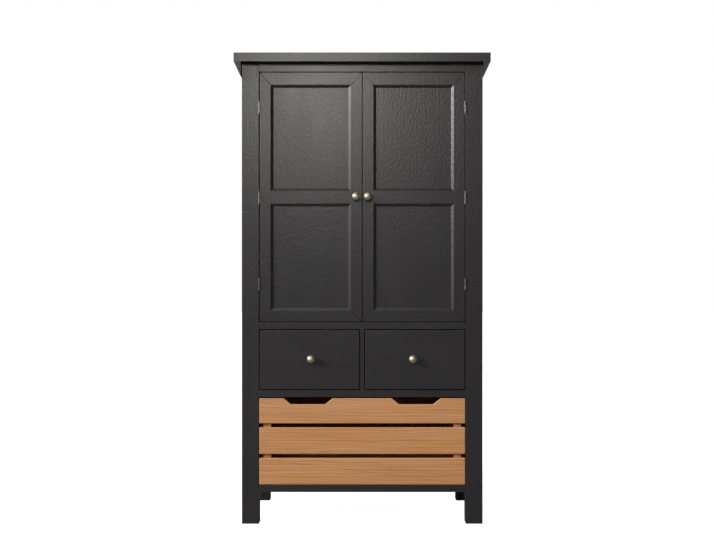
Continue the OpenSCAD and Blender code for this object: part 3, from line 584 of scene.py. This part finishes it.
def rounded_copy(name, node, edge, material, body):
    """A copy of a CAD node with its joints, its edges rounded by edge.

    The triangles are merged and joined to flat faces first. Each solid in the copy gets its own
    place in the tree, with the grain along its longest side.
    """
    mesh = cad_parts[node].data.copy()
    mesh.name = name
    shape = bmesh.new()
    shape.from_mesh(mesh)
    bmesh.ops.remove_doubles(shape, verts=shape.verts, dist=2e-5)
    bmesh.ops.dissolve_limit(
        shape, angle_limit=math.radians(0.5), verts=shape.verts, edges=shape.edges
    )
    shape.to_mesh(mesh)
    shape.free()
    points = np.empty(len(mesh.vertices) * 3)
    mesh.vertices.foreach_get("co", points)
    points = points.reshape(-1, 3) * 1000
    ends = np.empty(len(mesh.edges) * 2, np.int32)
    mesh.edges.foreach_get("vertices", ends)
    ends = ends.reshape(-1, 2)
    # Each point takes the lowest number of its neighbours until nothing changes.
    solid = np.arange(len(points))
    while (solid[ends[:, 0]] != solid[ends[:, 1]]).any():
        lowest = solid[ends].min(1)
        np.minimum.at(solid, ends[:, 0], lowest)
        np.minimum.at(solid, ends[:, 1], lowest)
    places = np.empty_like(points)
    for number in np.unique(solid):
        mine = solid == number
        places[mine] = place_in_tree(points[mine])[0]
    place = mesh.attributes.new("place", "FLOAT_VECTOR", "POINT")
    place.data.foreach_set("vector", places.ravel())
    mesh.shade_smooth()
    thing = bpy.data.objects.new(name, mesh)
    bevel = thing.modifiers.new("rounded arris", "BEVEL")
    bevel.width = edge / 1000
    bevel.segments = 3
    bevel.limit_method = "ANGLE"
    bevel.angle_limit = math.radians(20)
    bevel.use_clamp_overlap = True
    weigh = thing.modifiers.new("flat faces", "WEIGHTED_NORMAL")
    weigh.weight = 100
    return set_up(thing, material, body, (node,))


def sided(side, x):
    """Limits given for the right half, on this side."""
    return x if side > 0 else (-x[1], -x[0])


def both_sides(make):
    """The parts that make gives for the left and for the right."""
    return [part for side in (-1, 1) for part in make(side)]


# The carcase


def fixed(name, node, parts, material=PAINT):
    """A piece that rides on the cabinet, in place of a CAD node."""
    return piece(name, parts, material, "cabinet", node)


# How far a panel's sheet reaches into its grooves
TUCK = 0.5


def tucked(opening):
    """The limits of a sheet that reaches into the grooves at both ends of its opening."""
    return (opening[0] - TUCK, opening[1] + TUCK)


for node in ("leg_front_left", "leg_front_right", "leg_back_left", "leg_back_right"):
    fixed(node + "_post", node, [board(*box_mm(node), edge=1.2)])

fixed("top_board_slab", "top_board", [board(*box_mm("top_board"), edge=0.9, along="x")])

CORNICE = box_mm("side_cornices")
# The upright face of a cornice's top edge, above its slope
CORNICE_LIP = 2.5


def cornice(side):
    """A wedge under the top board: upright against the leg, sloping out to its lip."""
    corners = [
        (CORNICE[0][2], HALF_W),
        (TOP_Z, HALF_W),
        (TOP_Z, CORNICE[1][0]),
        (TOP_Z - CORNICE_LIP, CORNICE[1][0]),
    ]
    outline = rounded_outline([(z, side * x) for z, x in corners], (0.8, 0.5, 0.5, 0.8))
    return [carried("y", outline, CORNICE[0][1], BACK_Y, (0.45, 0.45))]


fixed("side_cornice_wedges", "side_cornices", both_sides(cornice))

# The front rails stop this short of the legs, so that the joints show as hairlines.
RAIL_JOINT = 0.4
rail_x = (-OPEN_X + RAIL_JOINT, OPEN_X - RAIL_JOINT)
for node in ("top_rail", "door_rail", "drawer_rail", "bottom_rail"):
    rail = slab(rail_x, limits(node, "y"), limits(node, "z"), edge=0.6, rim=0.7)
    fixed(node + "_bar", node, [rail])

divider = board(*box_mm("drawer_divider"), edge=0.6, rim=0.5, along="z", grain="z")
fixed("drawer_divider_bar", "drawer_divider", [divider])

side_sheet = (tucked((LEG_Y1, LEG_Y2)), tucked((SIDE_RAIL_Z[0][1], SIDE_RAIL_Z[1][0])))
for node in ("side_panel_left", "side_panel_right"):
    fixed(node + "_sheet", node, [slab(limits(node, "x"), *side_sheet, edge=0.3)])


def side_rail_pair(side):
    """The low and the high rail of a side."""
    x = sided(side, SIDE_RAIL_X)
    return [slab(x, (LEG_Y1, LEG_Y2), z, edge=1.5, rim=0.4) for z in SIDE_RAIL_Z]


fixed("side_rail_bars", "side_rails", both_sides(side_rail_pair))

open_x = (-OPEN_X, OPEN_X)
back_sheet_z = tucked((BACK_RAIL_Z[0][1], BACK_RAIL_Z[1][0]))
back_sheet = slab(tucked(open_x), BACK_PANEL_Y, back_sheet_z, edge=0.3)
fixed("back_panel_sheet", "back_panel", [back_sheet])
back_rails = [slab(open_x, BACK_RAIL_Y, z, edge=1.5, rim=0.4) for z in BACK_RAIL_Z]
back_rails.append(slab(open_x, RUNNER_RAIL_Y, limits("drawer_rail", "z"), edge=1.2, rim=0.4))
fixed("back_rail_bars", "back_rails", back_rails)


def stepped_board(node, steps, edge):
    """A flat board with square steps in its sides, wider between the legs.

    steps are (half width, y) points down the right side, from the front to the back.
    """
    corners = steps + [(-x, y) for x, y in reversed(steps)]
    outline = rounded_outline(corners, edge)
    rim = 0.9 * edge
    return [carried("z", outline, *limits(node, "z"), (rim, rim), grain="x")]


# The floors reach a little into the side panels and rails; the shelves stay clear of the legs.
FLOOR_SEAT = 2.0
BOTTOM_SEAT = 0.5
SHELF_PLAY = 1.0
for name, node, half_w, back_y in (
    ("cupboard_floor_board", "cupboard_floor", SIDE_PANEL_X[0] - FLOOR_SEAT, BACK_PANEL_Y[0]),
    ("bottom_board_slab", "bottom_board", SIDE_RAIL_X[0] + BOTTOM_SEAT, BACK_RAIL_Y[0]),
):
    steps = [(half_w, LEG_Y1), (half_w, LEG_Y2), (OPEN_X, LEG_Y2), (OPEN_X, back_y)]
    fixed(name, node, stepped_board(node, steps, 0.8))

for node in ("shelf_lower", "shelf_upper"):
    low, high = box_mm(node)
    neck, wide = OPEN_X - SHELF_PLAY, high[0]
    y1, y2 = LEG_Y1 + SHELF_PLAY, LEG_Y2 - SHELF_PLAY
    steps = [(neck, low[1]), (neck, y1), (wide, y1), (wide, y2), (neck, y2), (neck, high[1])]
    fixed(node + "_board", node, stepped_board(node, steps, 1.5))


def side_bars(node, inner_x):
    """A bar along each side between the legs, from inner_x to the CAD node's outer face."""
    x = (inner_x, limits(node, "x")[1])
    z = limits(node, "z")
    return both_sides(lambda side: [slab(sided(side, x), (LEG_Y1, LEG_Y2), z, edge=1)])


CLEAT_W = 20.0
cleat_x = limits("floor_cleats", "x")[1] - CLEAT_W
fixed("floor_cleat_bars", "floor_cleats", side_bars("floor_cleats", cleat_x))
partition = board(*box_mm("drawer_partition"), edge=1.0)
fixed("drawer_partition_board", "drawer_partition", [partition])
rounded_copy("drawer_runner_bars", "drawer_runners", 1.0, BARE_PINE, "cabinet")
fixed("crate_guide_bars", "crate_guides", side_bars("crate_guides", OPEN_X), BARE_PINE)


# Small hardware


def screw_head(centre, way, radius, rise):
    """A slotted screw head: two half discs with rounded rims on a lower disc.

    way is the axis that the head faces along, with its sign, such as "+y". A half disc is the
    part of a circle that lies beyond half the slot's width.
    """
    axis = way[1]
    a, b, c = CARRY[axis]
    sign = 1 if way[0] == "+" else -1
    # Half the slot's width, as a share of the radius, and what the slot leaves of the rise
    slot_half, slot_floor = 0.16, 0.3
    under = 0.4
    sharp, eased = 0.02, 0.04 * radius
    rims = (sharp, eased) if sign > 0 else (eased, sharp)
    first = math.asin(slot_half)
    t = np.linspace(first, np.pi - first, 17)
    half = radius * np.stack([np.cos(t), np.sin(t)], 1)
    parts = []
    for turn in (1, -1):
        outline = rounded_outline(turn * half + (centre[a], centre[b]), 0.05, steps=1)
        ends = sorted((centre[c], centre[c] + sign * rise))
        parts.append(carried(axis, outline, *ends, rims, steps=2))
    # The disc starts a little under the surface.
    ends = sorted((centre[c] - sign * under, centre[c] + sign * slot_floor * rise))
    disc = circle_outline((centre[a], centre[b]), 0.96 * radius)
    parts.append(carried(axis, disc, *ends, (sharp, sharp), steps=1))
    return parts


def knob(side, x, z):
    """A turned knob on the front, with the outline of the CAD knob and eased foot and neck."""
    # The crown is part of a sphere round this height that touches the rim's arc at this angle.
    crown_h, crown_r, touch = 11.94, 18.06, 23.28
    arcs = [
        arc((9.4, 0.6), 0.6, -90, 0, 4),
        arc((9.0, 1.5), 1.0, 0, 90, 6),
        arc((9.0, 5.5), 3.0, -90, -180, 8, hollow=True),
        arc((9.5, 8.6), 3.5, 180, 90, 8, hollow=True),
        arc((12.0, 17.1), 5.0, -90, touch, 16),
        arc((0.0, crown_h), crown_r, touch, 90, 26),
    ]
    return turned(arcs, (side * x, FACE_Y, z), (0, -1, 0))


KNOB_SCREW_R = 4.5
KNOB_SCREW_RISE = 2.4


def fit_knob(body, side, x, back_y):
    """A body's brass knob, and the pan head of the screw that holds it from behind."""
    z = sum(limits(body + "_knob", "z")) / 2
    piece(body + "_knob_turning", [knob(side, x, z)], BRASS, body, body + "_knob")
    head = screw_head((side * x, back_y, z), "+y", KNOB_SCREW_R, KNOB_SCREW_RISE)
    piece(body + "_knob_screw", head, STEEL, body)


# A leaf stands this proud of the wood, and is this much shorter than its recess at each end.
LEAF_PROUD = 0.15
LEAF_PLAY = 0.1
# Its screws, from the face of the leg or door and from the hinge's middle
LEAF_SCREW_Y = FACE_Y + 10.5
LEAF_SCREW_UP = 15.5
LEAF_SCREW_R = 3.4
LEAF_SCREW_RISE = 0.25
LEAF_SCREW_SUNK = 0.05
BARREL_R = 2.5
# The tab of a knuckle reaches this far into its leaf.
TAB_IN = 1.0
# The button of a pin starts this far inside its knuckle.
BUTTON_IN = 0.1


def leaf(side, z, x, hand):
    """A hinge plate let into the wood, with rounded back corners and two countersunk screws.

    x is the plane of its visible face, and hand is 1 where that face looks outwards.
    """
    z0, z1 = z - HINGE_H / 2 + LEAF_PLAY, z + HINGE_H / 2 - LEAF_PLAY
    corners = [(FACE_Y, z0), (LEAF_BACK_Y, z0), (LEAF_BACK_Y, z1), (FACE_Y, z1)]
    outline = rounded_outline(corners, (0.4, 2.5, 2.5, 0.4))
    outward = side * hand
    face = side * x
    ends = sorted((face, face - outward * LEAF_T))
    parts = [carried("x", outline, *ends, (0.25, 0.25), steps=2)]
    way = "+x" if outward > 0 else "-x"
    for up in (-LEAF_SCREW_UP, LEAF_SCREW_UP):
        place = (face - outward * LEAF_SCREW_SUNK, LEAF_SCREW_Y, z + up)
        parts += screw_head(place, way, LEAF_SCREW_R, LEAF_SCREW_RISE)
    return parts


def knuckles(side, z, own, plate_x):
    """The knuckles of one leaf, each with the tab that joins it to its plate."""
    pitch = (HINGE_H + KNUCKLE_GAP) / KNUCKLES
    parts = []
    for i in own:
        z0 = z - HINGE_H / 2 + i * pitch
        z1 = z0 + pitch - KNUCKLE_GAP
        barrel = circle_outline((side * HINGE_X, HINGE_Y), BARREL_R)
        parts.append(carried("z", barrel, z0, z1, (0.3, 0.3), steps=2))
        x, y = sided(side, plate_x), (HINGE_Y, FACE_Y + TAB_IN)
        parts.append(slab(x, y, (z0, z1), edge=0.3, rim=0.25, along="z"))
    return parts


def hinge_halves(side, face_x, hand, own, plate_x):
    """The leaf and its knuckles at each of a door's three hinges."""
    parts = []
    for z in HINGE_Z:
        parts += leaf(side, z, face_x, hand) + knuckles(side, z, own, plate_x)
    return parts


def frame_halves(side):
    """The halves on the leg, which hold the outer and the middle knuckles."""
    return hinge_halves(side, OPEN_X - LEAF_PROUD, -1, (0, 2, 4), (OPEN_X, OPEN_X + LEAF_T))


def door_halves(side):
    """The halves on the door, which hold the two knuckles between those."""
    plate_x = (DOOR_X[1] - LEAF_T, DOOR_X[1])
    return hinge_halves(side, DOOR_X[1] + LEAF_PROUD, 1, (1, 3), plate_x)


def pin_buttons(side):
    """The button ends of the hinge pins."""
    button = [arc((1.9, 0.5), 0.6, -90, 0, 3), arc((1.0, 0.6), 1.5, 0, 90, 6), pole(2.1)]
    rise = HINGE_H / 2 - BUTTON_IN
    return [
        turned(button, (side * HINGE_X, HINGE_Y, z + up * rise), (0, 0, up), 24)
        for z in HINGE_Z
        for up in (1, -1)
    ]


fixed("hinge_frame_plates", "hinge_frame_leaves", both_sides(frame_halves), STEEL)
fixed("hinge_pin_buttons", "hinge_pins", both_sides(pin_buttons), STEEL)

CATCH = box_mm("door_catches")
CATCH_W = 42.0
# The magnet's two plates: past the case in front, short of its back, in from its ends, above its
# underside, and their thickness
PLATE_OUT = 0.6
PLATE_SHORT = 3.0
PLATE_IN = 6.0
PLATE_UP = (4.6, 9.2)
PLATE_T = 1.4
# The screws on the underside, from its front and its ends
CATCH_SCREW_Y = 7.0
CATCH_SCREW_IN = 3.2
CATCH_SCREW_SUNK = 0.1


def catch(side):
    """A magnetic catch: a rounded case with the two steel plates of its magnet and two screws."""
    low, high = CATCH
    x = (high[0] - CATCH_W, high[0])
    case_y = (low[1] + PLATE_OUT, high[1])
    parts = [slab(sided(side, x), case_y, (low[2], high[2]), edge=1.6)]
    plate_x = sided(side, (x[0] + PLATE_IN, x[1] - PLATE_IN))
    plate_y = (low[1], high[1] - PLATE_SHORT)
    for up in PLATE_UP:
        z = (low[2] + up, low[2] + up + PLATE_T)
        parts.append(slab(plate_x, plate_y, z, edge=0.3, rim=0.25))
    for along in (x[0] + CATCH_SCREW_IN, x[1] - CATCH_SCREW_IN):
        place = (side * along, low[1] + CATCH_SCREW_Y, low[2] + CATCH_SCREW_SUNK)
        parts += screw_head(place, "-z", 2.2, 0.8)
    return parts


fixed("door_catch_cases", "door_catches", both_sides(catch), STEEL)

# The pins under a shelf, and how far they stand from the edge of their leg
SHELF_PIN_R = 3.0
SHELF_PIN_IN = 15.0


def shelf_pins(side):
    """Four turned shelf pins, each with a collar against its leg."""
    arcs = [
        arc((3.6, 0.3), 0.3, -90, 0, 3),
        arc((3.6, 1.2), 0.3, 0, 90, 3),
        arc((3.3, 1.8), 0.3, -90, -180, 3, hollow=True),
        arc((2.2, 9.2), 0.8, 0, 90, 5),
        pole(10.0),
    ]
    return [
        turned(arcs, (side * OPEN_X, y, limits(shelf, "z")[0] - SHELF_PIN_R), (-side, 0, 0), 24)
        for shelf in ("shelf_lower", "shelf_upper")
        for y in (LEG_Y1 - SHELF_PIN_IN, LEG_Y2 + SHELF_PIN_IN)
    ]


fixed("shelf_pin_turnings", "shelf_pins", both_sides(shelf_pins), STEEL)


# The doors

KNOB_X = DOOR_X[0] + STILE_W / 2
# Half the gap of a mitre, which shows as a dark hairline.
MITRE_GAP = 0.7
MITRE_RIMS = (0.5, 0.5)
# A tongue stays this far from the outer edges of its corner, and this deep in the wood.
TONGUE_IN = 2.0
TONGUE_DEEP = 6.0


def stile(side, x, outer):
    """A stile, mitred at both ends from the door's corner to the panel's corner.

    x are its limits, and outer is the one at the door's edge. A tongue lies inside each mitre,
    so that no light comes through it.
    """
    inner = x[0] if outer == x[1] else x[1]
    edge = outer * side
    run = (inner - outer) * side
    rise = DOOR_BOTTOM_RAIL_H / run
    fall = -DOOR_TOP_RAIL_H / run
    x = (side * x[0], side * x[1])
    corners = [(x[0], FACE_Y), (x[1], FACE_Y), (x[1], DOOR_BACK_Y), (x[0], DOOR_BACK_Y)]
    start = (DOOR_Z[0] - rise * edge + MITRE_GAP, rise, 0.0)
    stop = (DOOR_Z[1] - fall * edge - MITRE_GAP, fall, 0.0)
    parts = [carried("z", rounded_outline(corners, 0.4), start, stop, MITRE_RIMS)]
    tongue_x = (min(x) + TONGUE_IN, max(x) - TONGUE_IN)
    tongue_y = (FACE_Y + TONGUE_DEEP, DOOR_BACK_Y - TONGUE_DEEP)
    for z0, z1 in ((DOOR_Z[0], PANEL_Z[0][0]), (PANEL_Z[1][1], DOOR_Z[1])):
        tongue = slab(tongue_x, tongue_y, (z0 + TONGUE_IN, z1 - TONGUE_IN), edge=0.5)
        parts.append(tongue)
    return parts


def mitred_rail(side, z, edge_z):
    """The top or bottom rail of a door, mitred at both ends.

    z are its limits, and edge_z is the one at the door's edge.
    """
    height = (z[0] if edge_z == z[1] else z[1]) - edge_z
    ends = []
    for outer, inner in zip(DOOR_X, PANEL_X):
        slope = side * (inner - outer) / height
        gap = side * math.copysign(MITRE_GAP, inner - outer)
        ends.append((side * outer - slope * edge_z + gap, 0.0, slope))
    ends = ends if side > 0 else ends[::-1]
    corners = [(FACE_Y, z[0]), (DOOR_BACK_Y, z[0]), (DOOR_BACK_Y, z[1]), (FACE_Y, z[1])]
    return [carried("x", rounded_outline(corners, 0.4), *ends, MITRE_RIMS)]


# A moulding starts this far behind the door's face, and ends this far inside its panel.
MOULDING_BEHIND = 0.4
MOULDING_SEAT = 0.3


def moulding(x, z):
    """Four bevelled strips, mitred round an opening.

    A strip is a triangle: its front edge lies against the frame at the door's face, and it
    slopes back to the panel. Its ends slope by its own width. Carried along z the outline's
    first coordinate is the one across the strip, carried along x it is the second.
    """
    front, back = FACE_Y + MOULDING_BEHIND, PANEL_Y[0] + MOULDING_SEAT
    parts = []
    for axis, edges, ends in (("z", x, z), ("x", z, x)):
        for edge, inward in zip(edges, (1, -1)):
            corners = [(edge, front), (edge, back), (edge + inward * MOULDING_W, back)]
            slope = (float(inward), 0.0)
            if axis == "x":
                corners = [corner[::-1] for corner in corners]
                slope = slope[::-1]
            outline = rounded_outline(corners, (0.35, 0.2, 0.35), steps=2)
            start = (ends[0] - inward * edge, *slope)
            stop = (ends[1] + inward * edge, -slope[0], -slope[1])
            parts.append(carried(axis, outline, start, stop, (0.18, 0.18), steps=2))
    return parts


def mid_rail(opening):
    """The middle rail of a door, square across the opening between its stiles."""
    return [slab(opening, (FACE_Y, DOOR_BACK_Y), MID_RAIL_Z, edge=0.6, rim=0.6)]


def panels(opening):
    """The two panels of a door, tucked into its frame."""
    return [slab(tucked(opening), PANEL_Y, tucked(z), edge=0.3) for z in PANEL_Z]


for side, body in ((-1, "door_left"), (1, "door_right")):
    opening = sorted(side * x for x in PANEL_X)
    top_z, bottom_z = (PANEL_Z[1][1], DOOR_Z[1]), (DOOR_Z[0], PANEL_Z[0][0])
    for name, node, parts in (
        ("hinge_stile_bar", "hinge_stile", stile(side, (PANEL_X[1], DOOR_X[1]), DOOR_X[1])),
        ("meeting_stile_bar", "meeting_stile", stile(side, (DOOR_X[0], PANEL_X[0]), DOOR_X[0])),
        ("top_rail_bar", "top_rail", mitred_rail(side, top_z, DOOR_Z[1])),
        ("bottom_rail_bar", "bottom_rail", mitred_rail(side, bottom_z, DOOR_Z[0])),
        ("mid_rail_bar", "mid_rail", mid_rail(opening)),
        ("panel_sheets", "panels", panels(opening)),
        ("bevel_strips", "mouldings", [strip for z in PANEL_Z for strip in moulding(opening, z)]),
    ):
        piece(f"{body}_{name}", parts, PAINT, body, f"{body}_{node}")
    piece(body + "_hinge_plates", door_halves(side), STEEL, body, body + "_hinge_leaves")
    fit_knob(body, side, KNOB_X, DOOR_BACK_Y)


# The drawers

DRAWER_KNOB_X = sum(limits("drawer_right_knob", "x")) / 2
for side, body in ((-1, "drawer_left"), (1, "drawer_right")):
    rounded_copy(body + "_front_board", body + "_front", 0.5, PAINT, body)
    rounded_copy(body + "_box_boards", body + "_box", 0.8, BARE_PINE, body)
    sheet = board(*box_mm(body + "_bottom"), edge=0.5, grain="x")
    piece(body + "_bottom_sheet", [sheet], BARE_PINE, body, body + "_bottom")
    fit_knob(body, side, DRAWER_KNOB_X, limits(body + "_front", "y")[1])


# The crate

SLAT_EDGE = 2.6
# The rims of a slat are rounder in front than behind.
SLAT_RIMS = (3.0, 1.2)


def front_slat(corners, radii):
    """A slat of the front: an outline of (x, z) points, carried through its thickness."""
    outline = rounded_outline([(z, x) for x, z in corners], radii)
    return carried("y", outline, *SLAT_FRONT_Y, SLAT_RIMS, grain="x")


def plain_slat(z):
    """A straight slat of the front."""
    corners = [(-CRATE_X, z[0]), (CRATE_X, z[0]), (CRATE_X, z[1]), (-CRATE_X, z[1])]
    return front_slat(corners, SLAT_EDGE)


def notched_slat(z):
    """The top slat: hand cut-outs with sloping ends and rounded corners."""
    low, high = NOTCH_HALF
    floor = z[1] - NOTCH_DEPTH
    corners = [(-CRATE_X, z[0]), (CRATE_X, z[0]), (CRATE_X, z[1])]
    radii = [SLAT_EDGE] * 3
    for middle in (NOTCH_X, -NOTCH_X):
        corners += [
            (middle + high, z[1]),
            (middle + low, floor),
            (middle - low, floor),
            (middle - high, z[1]),
        ]
        radii += [NOTCH_R] * 4
    corners.append((-CRATE_X, z[1]))
    radii.append(SLAT_EDGE)
    return front_slat(corners, radii)


BATTEN = limits("crate_floor_slats", "z")[0] - LOW_SLATS_Z[0]


def crate_side_frame(side):
    """Two posts and the batten between them."""
    x = sided(side, (CRATE_IN_X - POST_W, CRATE_IN_X))
    z = (LOW_SLATS_Z[0], TOP_SLAT_Z[1])
    y0, y1 = CRATE_IN_Y[0] + POST_W, CRATE_IN_Y[1] - POST_W
    posts = [slab(x, y, z, edge=1.6) for y in ((CRATE_IN_Y[0], y0), (y1, CRATE_IN_Y[1]))]
    x = sided(side, (CRATE_IN_X - BATTEN, CRATE_IN_X))
    return posts + [slab(x, (y0, y1), (z[0], z[0] + BATTEN), edge=1.2, rim=0.3)]


def crate_side_slats(side):
    """The three slats of one side."""
    x = sided(side, (CRATE_IN_X, CRATE_X))
    return [slab(x, CRATE_IN_Y, z, edge=2.2, rim=0.6) for z in SLAT_Z]


def crate_floor():
    """The floor's slats, evenly spaced between the posts."""
    y, z = limits("crate_floor_slats", "y"), limits("crate_floor_slats", "z")
    width = (y[1] - y[0] - (FLOOR_SLATS - 1) * FLOOR_GAP) / FLOOR_SLATS
    starts = [y[0] + i * (width + FLOOR_GAP) for i in range(FLOOR_SLATS)]
    return [slab((-CRATE_IN_X, CRATE_IN_X), (y0, y0 + width), z, edge=1.6) for y0 in starts]


back_slats_y = limits("crate_back_slats", "y")
for name, node, parts in (
    ("crate_top_slat_board", "crate_top_slat", [notched_slat(SLAT_Z[2])]),
    ("crate_front_slat_boards", "crate_front_slats", [plain_slat(z) for z in SLAT_Z[:2]]),
    ("crate_posts_and_battens", "crate_frame", both_sides(crate_side_frame)),
    ("crate_side_slat_boards", "crate_side_slats", both_sides(crate_side_slats)),
    (
        "crate_back_slat_boards",
        "crate_back_slats",
        [slab((-CRATE_X, CRATE_X), back_slats_y, z, edge=2.2) for z in SLAT_Z],
    ),
    ("crate_floor_slat_boards", "crate_floor_slats", crate_floor()),
):
    piece(name, parts, OILED_PINE, "crate", node)


# Camera, floor and light, in metres

FLOOR_HALF = 40.0
# What the dim room in front of the cupboard gives to shiny and to matt surfaces
ROOM_MIRRORED = (0.022, 0.022, 0.022, 1)
ROOM_MATT = (0.37, 0.37, 0.37, 1)


def seen_by_camera(tree, path):
    """1 for what the camera sees, also through glass, and 0 for the rest of the light."""
    kinds = path["Is Camera Ray"], path["Is Transmission Ray"]
    return calculated(tree, "MAXIMUM", *kinds)


def pale_floor():
    """A matt studio floor that is white to the camera and mid grey to the rest of the light."""
    mesh = bpy.data.meshes.new("studio_floor")
    corners = [(-1, -1), (1, -1), (1, 1), (-1, 1)]
    points = [(FLOOR_HALF * x, FLOOR_HALF * y, 0) for x, y in corners]
    mesh.from_pydata(points, [], [(0, 1, 2, 3)])
    floor = bpy.data.objects.new("studio_floor", mesh)
    bpy.context.scene.collection.objects.link(floor)
    material = bpy.data.materials.new("white studio floor")
    material.use_nodes = True
    tree = material.node_tree
    tree.nodes.clear()
    seen = seen_by_camera(tree, add_node(tree, "ShaderNodeLightPath").outputs)
    # The floor glows more the further it lies from the cupboard, so that it meets the backdrop.
    where = add_node(tree, "ShaderNodeTexCoord").outputs["Object"]
    away = add_node(tree, "ShaderNodeVectorMath", {0: where}, operation="LENGTH")
    rise = mapped(tree, away.outputs["Value"], 0.7, 2.5, 0.92, 1.0)
    inputs = {
        "Base Color": mixed(tree, seen, colour("#6f6f6f"), colour("#f2f2f2")),
        "Roughness": 0.9,
        "Specular IOR Level": 0.0,
        "Emission Color": WHITE,
        "Emission Strength": calculated(tree, "MULTIPLY", seen, rise),
    }
    mesh.materials.append(surfaced(material, tree, inputs))


def studio_world():
    """White behind the cupboard, and to the camera on all sides; a dim room in front of it."""
    world = bpy.data.worlds.new("studio")
    bpy.context.scene.world = world
    world.use_nodes = True
    tree = world.node_tree
    tree.nodes.clear()
    path = add_node(tree, "ShaderNodeLightPath").outputs
    where = add_node(tree, "ShaderNodeTexCoord").outputs["Generated"]
    back = add_node(tree, "ShaderNodeSeparateXYZ", {0: where}).outputs["Y"]
    behind = mapped(tree, back, -0.1, 0.5, 0.0, 1.0)
    mirrored_light = mixed(tree, behind, ROOM_MIRRORED, WHITE)
    matt_light = mixed(tree, behind, ROOM_MATT, WHITE)
    room = mixed(tree, path["Is Glossy Ray"], matt_light, mirrored_light)
    tone = mixed(tree, seen_by_camera(tree, path), room, WHITE)
    light = add_node(tree, "ShaderNodeBackground", {"Color": tone, "Strength": 1.0})
    add_node(tree, "ShaderNodeOutputWorld", {"Surface": light.outputs[0]})


def softbox(name, place, target, size, watts, tint="#ffffff"):
    """A rectangular lamp at place that points at target."""
    lamp = bpy.data.lights.new(name, "AREA")
    lamp.shape = "RECTANGLE"
    lamp.size, lamp.size_y = size
    lamp.energy = watts
    lamp.color = colour(tint)[:3]
    thing = bpy.data.objects.new(name, lamp)
    way = np.array(target) - np.array(place)
    way = way / np.linalg.norm(way)
    thing.location = place
    thing.rotation_euler = (math.acos(-way[2]), 0, math.atan2(-way[0], way[1]))
    bpy.context.scene.collection.objects.link(thing)
    return thing


pale_floor()
studio_world()
softbox("front", (-0.46, -5.2, 2.86), (0, -0.27, 1.3), (0.22, 1.1), 58.5, "#fffdf9")
softbox("left", (-9.0, -4.62, 5.06), (0, -0.27, 1.1), (4.36, 2.92), 1250)
softbox("above", (-0.3, -1.6, 4.2), (0, -0.27, 1.0), (1.2, 0.8), 7.4)

camera = bpy.data.objects.new("camera", bpy.data.cameras.new("camera"))
camera.data.lens = 55.65
camera.data.sensor_width = 36.0
camera.data.shift_x = -0.01625
camera.data.shift_y = 0.0265
camera.location = (0.030, -4.740, 0.951)
camera.rotation_euler = (math.radians(90), 0, 0)
bpy.context.scene.collection.objects.link(camera)
bpy.context.scene.camera = camera
bpy.context.scene.view_settings.view_transform = "Standard"
